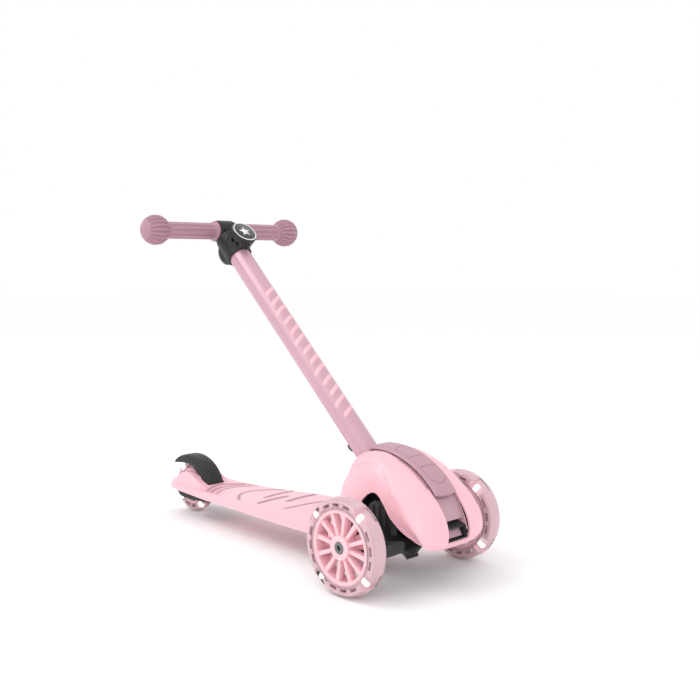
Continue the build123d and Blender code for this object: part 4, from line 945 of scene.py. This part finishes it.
def make_clamp():
    """Sleeve, bar collar, lobe, badge boss and screw ears, fused and then bored and slit."""
    low, high = STEM_L - 55.4, STEM_L - 15.5
    body = Build()
    body.lathe([(low, 0.0), (low, 19.3), (high, 19.3), (high, 0.0)], 64, STEM_ORIGIN,
               axis=UP_STEM, start=SIDE, closed=False)
    body.lathe([(-13.8, 0.0), (-13.8, 15.6), (-12.6, 16.3), (12.6, 16.3), (13.8, 15.6),
                (13.8, 0.0)], 64, (0, BAR.y, BAR.z), closed=False)
    body.lathe([(-13.6, 0.0), (-13.6, 15.0), (-9.0, 20.4), (9.0, 20.4), (13.6, 15.0),
                (13.6, 0.0)], 64, on_stem(0, 8, low + 20.8), closed=False)
    body.lathe([(4.0, 0.0), (4.0, 17.0), (20.0, 18.6), (33.0, 20.0), (33.8, 19.6), (33.8, 0.0)],
               64, badge_at, axis=-BACK_STEM, start=SIDE, closed=False)
    ears = [on_stem(x, y, low + 0.4)
            for x, y in ((-8.4, -10), (8.4, -10), (8.4, -26), (-8.4, -26))]
    body.prism(ears, UP_STEM * 22)
    obj = body.make("clamp_body", "stem", BLACK, replaces=("handlebar_clamp",),
                    slot="black_nylon")
    mod = obj.modifiers.new("fuse", "REMESH")
    mod.mode = "VOXEL"
    mod.voxel_size = 0.0009
    mod.use_smooth_shade = True
    soft = obj.modifiers.new("soften", "SMOOTH")
    soft.factor = 0.6
    soft.iterations = 9
    apply_all(obj)
    bore_r = TUBE_R + 0.03
    cut_lathe(obj, [(-80, 0.0), (-80, bore_r), (low + 8, bore_r), (low + 8, 0.0)], 64,
              STEM_ORIGIN, axis=UP_STEM, start=SIDE)
    slit = [on_stem(x, y, low - 3) for x, y in ((-0.9, -14), (0.9, -14), (0.9, -29), (-0.9, -29))]
    cut(obj, Build().prism(slit, UP_STEM * 15.5).make("cutter", "stem", BLACK))
    for y in (-17.8, -25.4):
        cut_lathe(obj, [(-4, 0.0), (-4, 1.9), (11, 1.9), (11, 0.0)], 20, on_stem(0, y, low),
                  axis=UP_STEM, start=SIDE)
    # sockets for the two clamp screws, from both sides
    for at in (low + 5.0, low + 13.0):
        for s in (-1, 1):
            cut_lathe(obj, [(s * 8.6, 0.0), (s * 8.6, 3.3), (s * 24, 3.3), (s * 24, 0.0)], 24,
                      on_stem(0, -22.0, at))
    for face in obj.data.polygons:
        face.use_smooth = True
    weigh_normals(obj)


make_clamp()


# ---------------------------------------------------------------- badge
def on_badge(x, y, lift):
    """A point on the badge: x to the left hand, y up the stem, lift proud of its face."""
    return badge_at - BACK_STEM * (34.0 + lift) + SIDE * x + UP_STEM * y


disc = Build()
disc.lathe([(28.0, 18.9), (34.2, 19.2), (34.8, 18.9), (35.15, 18.3), (35.2, 0.0)], 72, badge_at,
           axis=-BACK_STEM, start=SIDE, closed=False)
disc.make("badge_disc_gloss", "stem", GLOSS, replaces=("badge_disc",), slot="black_gloss",
          outward=tuple(badge_at - BACK_STEM * 10))
mark = Build()
mark.lathe([(35.1, 16.9), (35.1, 18.4), (35.6, 18.3), (35.6, 17.0)], 72, badge_at,
           axis=-BACK_STEM, start=SIDE)
star = []
for k in range(10):
    r = 9.6 if k % 2 == 0 else 4.3
    a = radians(36 * k)
    star.append(on_badge(r * sin(a), r * cos(a), 1.15))
mark.prism(star, -BACK_STEM * 0.4)
mark.make("badge_mark", "stem", PRINT, replaces=("badge_ring",), slot="white_print")


# ---------------------------------------------------------------- shield
def make_shield():
    """A curved plate about the shield's arc, with an engraved frame and four cross lines."""
    a0, a1 = 81.6, 142.4
    count, frame_at, groove = 260, 0.74, 1.0
    lines = (102.0, 111.5, 121.0, 130.5)
    rows = []
    for j in range(count + 1):
        a = a0 + (a1 - a0) * j / count
        row = []
        end = step(a, a0, a0 + 3.0)
        lip = step(a, a1 - 2.2, a1)
        for i in range(81):
            f = -1 + 2 * i / 80
            r = SHIELD_R - 3.0 * abs(f) ** 4.2 - 1.2 * (1 - end) - 0.9 * lip
            r -= 1.6 * step(abs(f), 0.9, 1.0)
            for n, at in enumerate(lines):
                bow = 4.0 * (1 - (f / frame_at) ** 2) * (-1 if n < 1 else 1)
                if abs(f) < frame_at:
                    d = abs(a - at - (bow if n in (0, 3) else 0.9 * (f * f)))
                    r -= groove * (1 - step(d, 0.14, 0.46))
            off = abs(abs(f) - frame_at)
            if off < 0.05 and lines[0] < a < lines[-1]:
                r -= groove * (1 - step(off, 0.008, 0.036))
            w = radians(a - 1.6 * (f * f) * lip)
            row.append(Vector((19.1 * f, SHIELD_Y + r * cos(w), SHIELD_Z + r * sin(w))))
        rows.append(row)
    shell = Build()
    shell.grid(rows)
    obj = shell.make("shield_shell", "shield", SHIELD, replaces=("fold_shield",),
                     slot="mauve_inlay", outward=(0, SHIELD_Y, SHIELD_Z))
    wall(obj, 4.6)
    bevel(obj, 0.7, 2, 45)
    # rails and tabs that run in the cowl's groove
    tabs = Build()
    for s in (1, -1):
        for angles in ((84, 88.5), (90, 92.5), (95, 140)):
            tabs.arc_block((0, SHIELD_Y, SHIELD_Z), (s * 17.5, s * 22.6), (116.8, 118.0), angles,
                           12)
    bevel(tabs.make("shield_rails", "shield", SHIELD, slot="mauve_inlay"), 0.25)


make_shield()

# ---------------------------------------------------------------- truck
arms = Build()


def ring_of(x, points):
    return [Vector((x, FY + y, z)) for y, z in points]


# Sections of an arm (y, z) at its root and at the wheel.
INNER = [(-24, 44), (-18, 40), (-8, 39.5), (0, 43), (7, 52), (7, 60), (2, 67), (-8, 68),
         (-18, 62), (-25, 54)]
OUTER = [(-36, 50), (-24, 45), (-6, 43.5), (10, 46.5), (18, 58), (17, 70), (10, 80), (-8, 85),
         (-24, 76), (-35, 62)]
ARM_ROOT, ARM_END = 30.0, 88.6
for s in (1, -1):
    rings = []
    for f in (0.0, 0.25, 0.5, 0.75, 1.0):
        x = ARM_ROOT + (ARM_END - ARM_ROOT) * f
        g = f * f * (3 - 2 * f)
        rings.append([Vector((s * x, FY + a[0] + (b[0] - a[0]) * g, a[1] + (b[1] - a[1]) * g))
                      for a, b in zip(INNER, OUTER)])
    arms.loft(rings)
    arms.lathe([(s * 84.0, 4.2), (s * 84.0, 17.0), (s * 91.6, 16.6), (s * 92.6, 15.4), (s * 92.6, 6.6),
                (s * 95.8, 6.4), (s * 95.8, 4.2)], 56, (0, FY, FR))
    arms.prism(ring_of(s * 40.2, [(-19, 60), (-19, 86), (-13.5, 98), (-4, 103.4), (8, 103.4),
                                 (16.4, 97.4), (22, 84), (19, 60)]), (s * 9.4, 0, 0))
    for y in (-10, 0, 10):
        rib = [(y - 1.1, 66), (y + 1.1, 66), (y + 1.1, 98), (y - 1.1, 98)]
        arms.prism(ring_of(s * 49.0, rib), (s * 2.6, 0, 0))
arms.prism(ring_of(-34, [(-24, 44), (-15, 39.5), (-4, 41), (1, 50), (-6, 57), (-16, 55)]),
           (68, 0, 0))
bevel(arms.make("truck_arms", "truck", BLACK, slot="black_nylon"), 1.6, 3, 28)


# ---------------------------------------------------------------- CAD nodes that show as they are
IN_STEEL = ("latch_spring", "fold_pin", "kingpin", "kingpin_nut", "front_spacer_right",
            "front_spacer_left", "rear_spacer", "rear_axle_bolt", "rear_axle_nut", "brake_pin",
            "brake_spring", "inner_post", "post_rivet", "button_spring", "clamp_screws",
            "handlebar_tube")
KEPT = {"slot_panel": SHIELD, "latch_tongue": SHIELD, "fold_bracket": ALLOY,
        "steering_bushes": URETHANE, "brake_pad": URETHANE, "height_button": GLOSS,
        **dict.fromkeys(IN_STEEL, STEEL)}
# Nodes not listed take black; on the latch pocket (latch_box) this black is painted shade in its
# cavity.
for name, obj in nodes.items():
    obj.data.materials.clear()
    obj.data.materials.append(KEPT.get(name, BLACK))


# ---------------------------------------------------------------- floor, light, camera
floor_mat = finish("studio_floor", (0.985, 0.985, 0.985), rough=0.9, vary=0.004, grain=60,
                   bump=0.0, edge=0.0, rough_vary=0.02, specular=0.0)
floor = Build()
floor.grid([[Vector((x, y, -0.3)) for y in (-9000, 9000)] for x in (-9000, 9000)])
mesh = bpy.data.meshes.new("studio_floor")
mesh.from_pydata([Vector(v) * 0.001 for v in floor.verts], [], floor.faces)
mesh.materials.append(floor_mat)
floor_obj = bpy.data.objects.new("studio_floor", mesh)
scene.collection.objects.link(floor_obj)

world = bpy.data.worlds.new("studio")
world.use_nodes = True
sky = world.node_tree.nodes["Background"]
sky.inputs["Color"].default_value = (1.0, 1.0, 1.0, 1.0)
sky.inputs["Strength"].default_value = 1.0
scene.world = world


def softbox(name, place, target, size, power):
    light = bpy.data.lights.new(name, "AREA")
    light.shape = "RECTANGLE"
    light.size, light.size_y = size
    light.energy = power
    obj = bpy.data.objects.new(name, light)
    obj.location = place
    aim = Vector(target) - Vector(place)
    obj.rotation_mode = "QUATERNION"
    obj.rotation_quaternion = aim.to_track_quat("-Z", "Y")
    scene.collection.objects.link(obj)


softbox("key", (-1.1, 0.7, 1.9), (0, -0.05, 0.1), (1.3, 1.3), 12)
softbox("fill", (-1.6, -1.6, 1.2), (0, -0.1, 0.15), (1.6, 1.2), 8)

# the camera solved from the photograph
camera = bpy.data.cameras.new("camera")
camera.sensor_width = 36.0
camera.lens = 49.66
camera.clip_end = 60.0
cam = bpy.data.objects.new("camera", camera)
scene.collection.objects.link(cam)
azimuth, elevation, roll = -0.77388, 0.09202, -0.00158
back = Vector((sin(azimuth) * cos(elevation), -cos(azimuth) * cos(elevation), sin(elevation)))
right = Vector((0, 0, 1)).cross(back).normalized()
up = back.cross(right)
right, up = right * cos(roll) + up * sin(roll), up * cos(roll) - right * sin(roll)
turn = Matrix((right, up, back)).transposed().to_4x4()
cam.matrix_world = Matrix.Translation(Vector((-887.52, FY - 805.99, 397.77)) * 0.001) @ turn
scene.camera = cam
scene.view_settings.view_transform = "Standard"

bpy.context.view_layer.update()
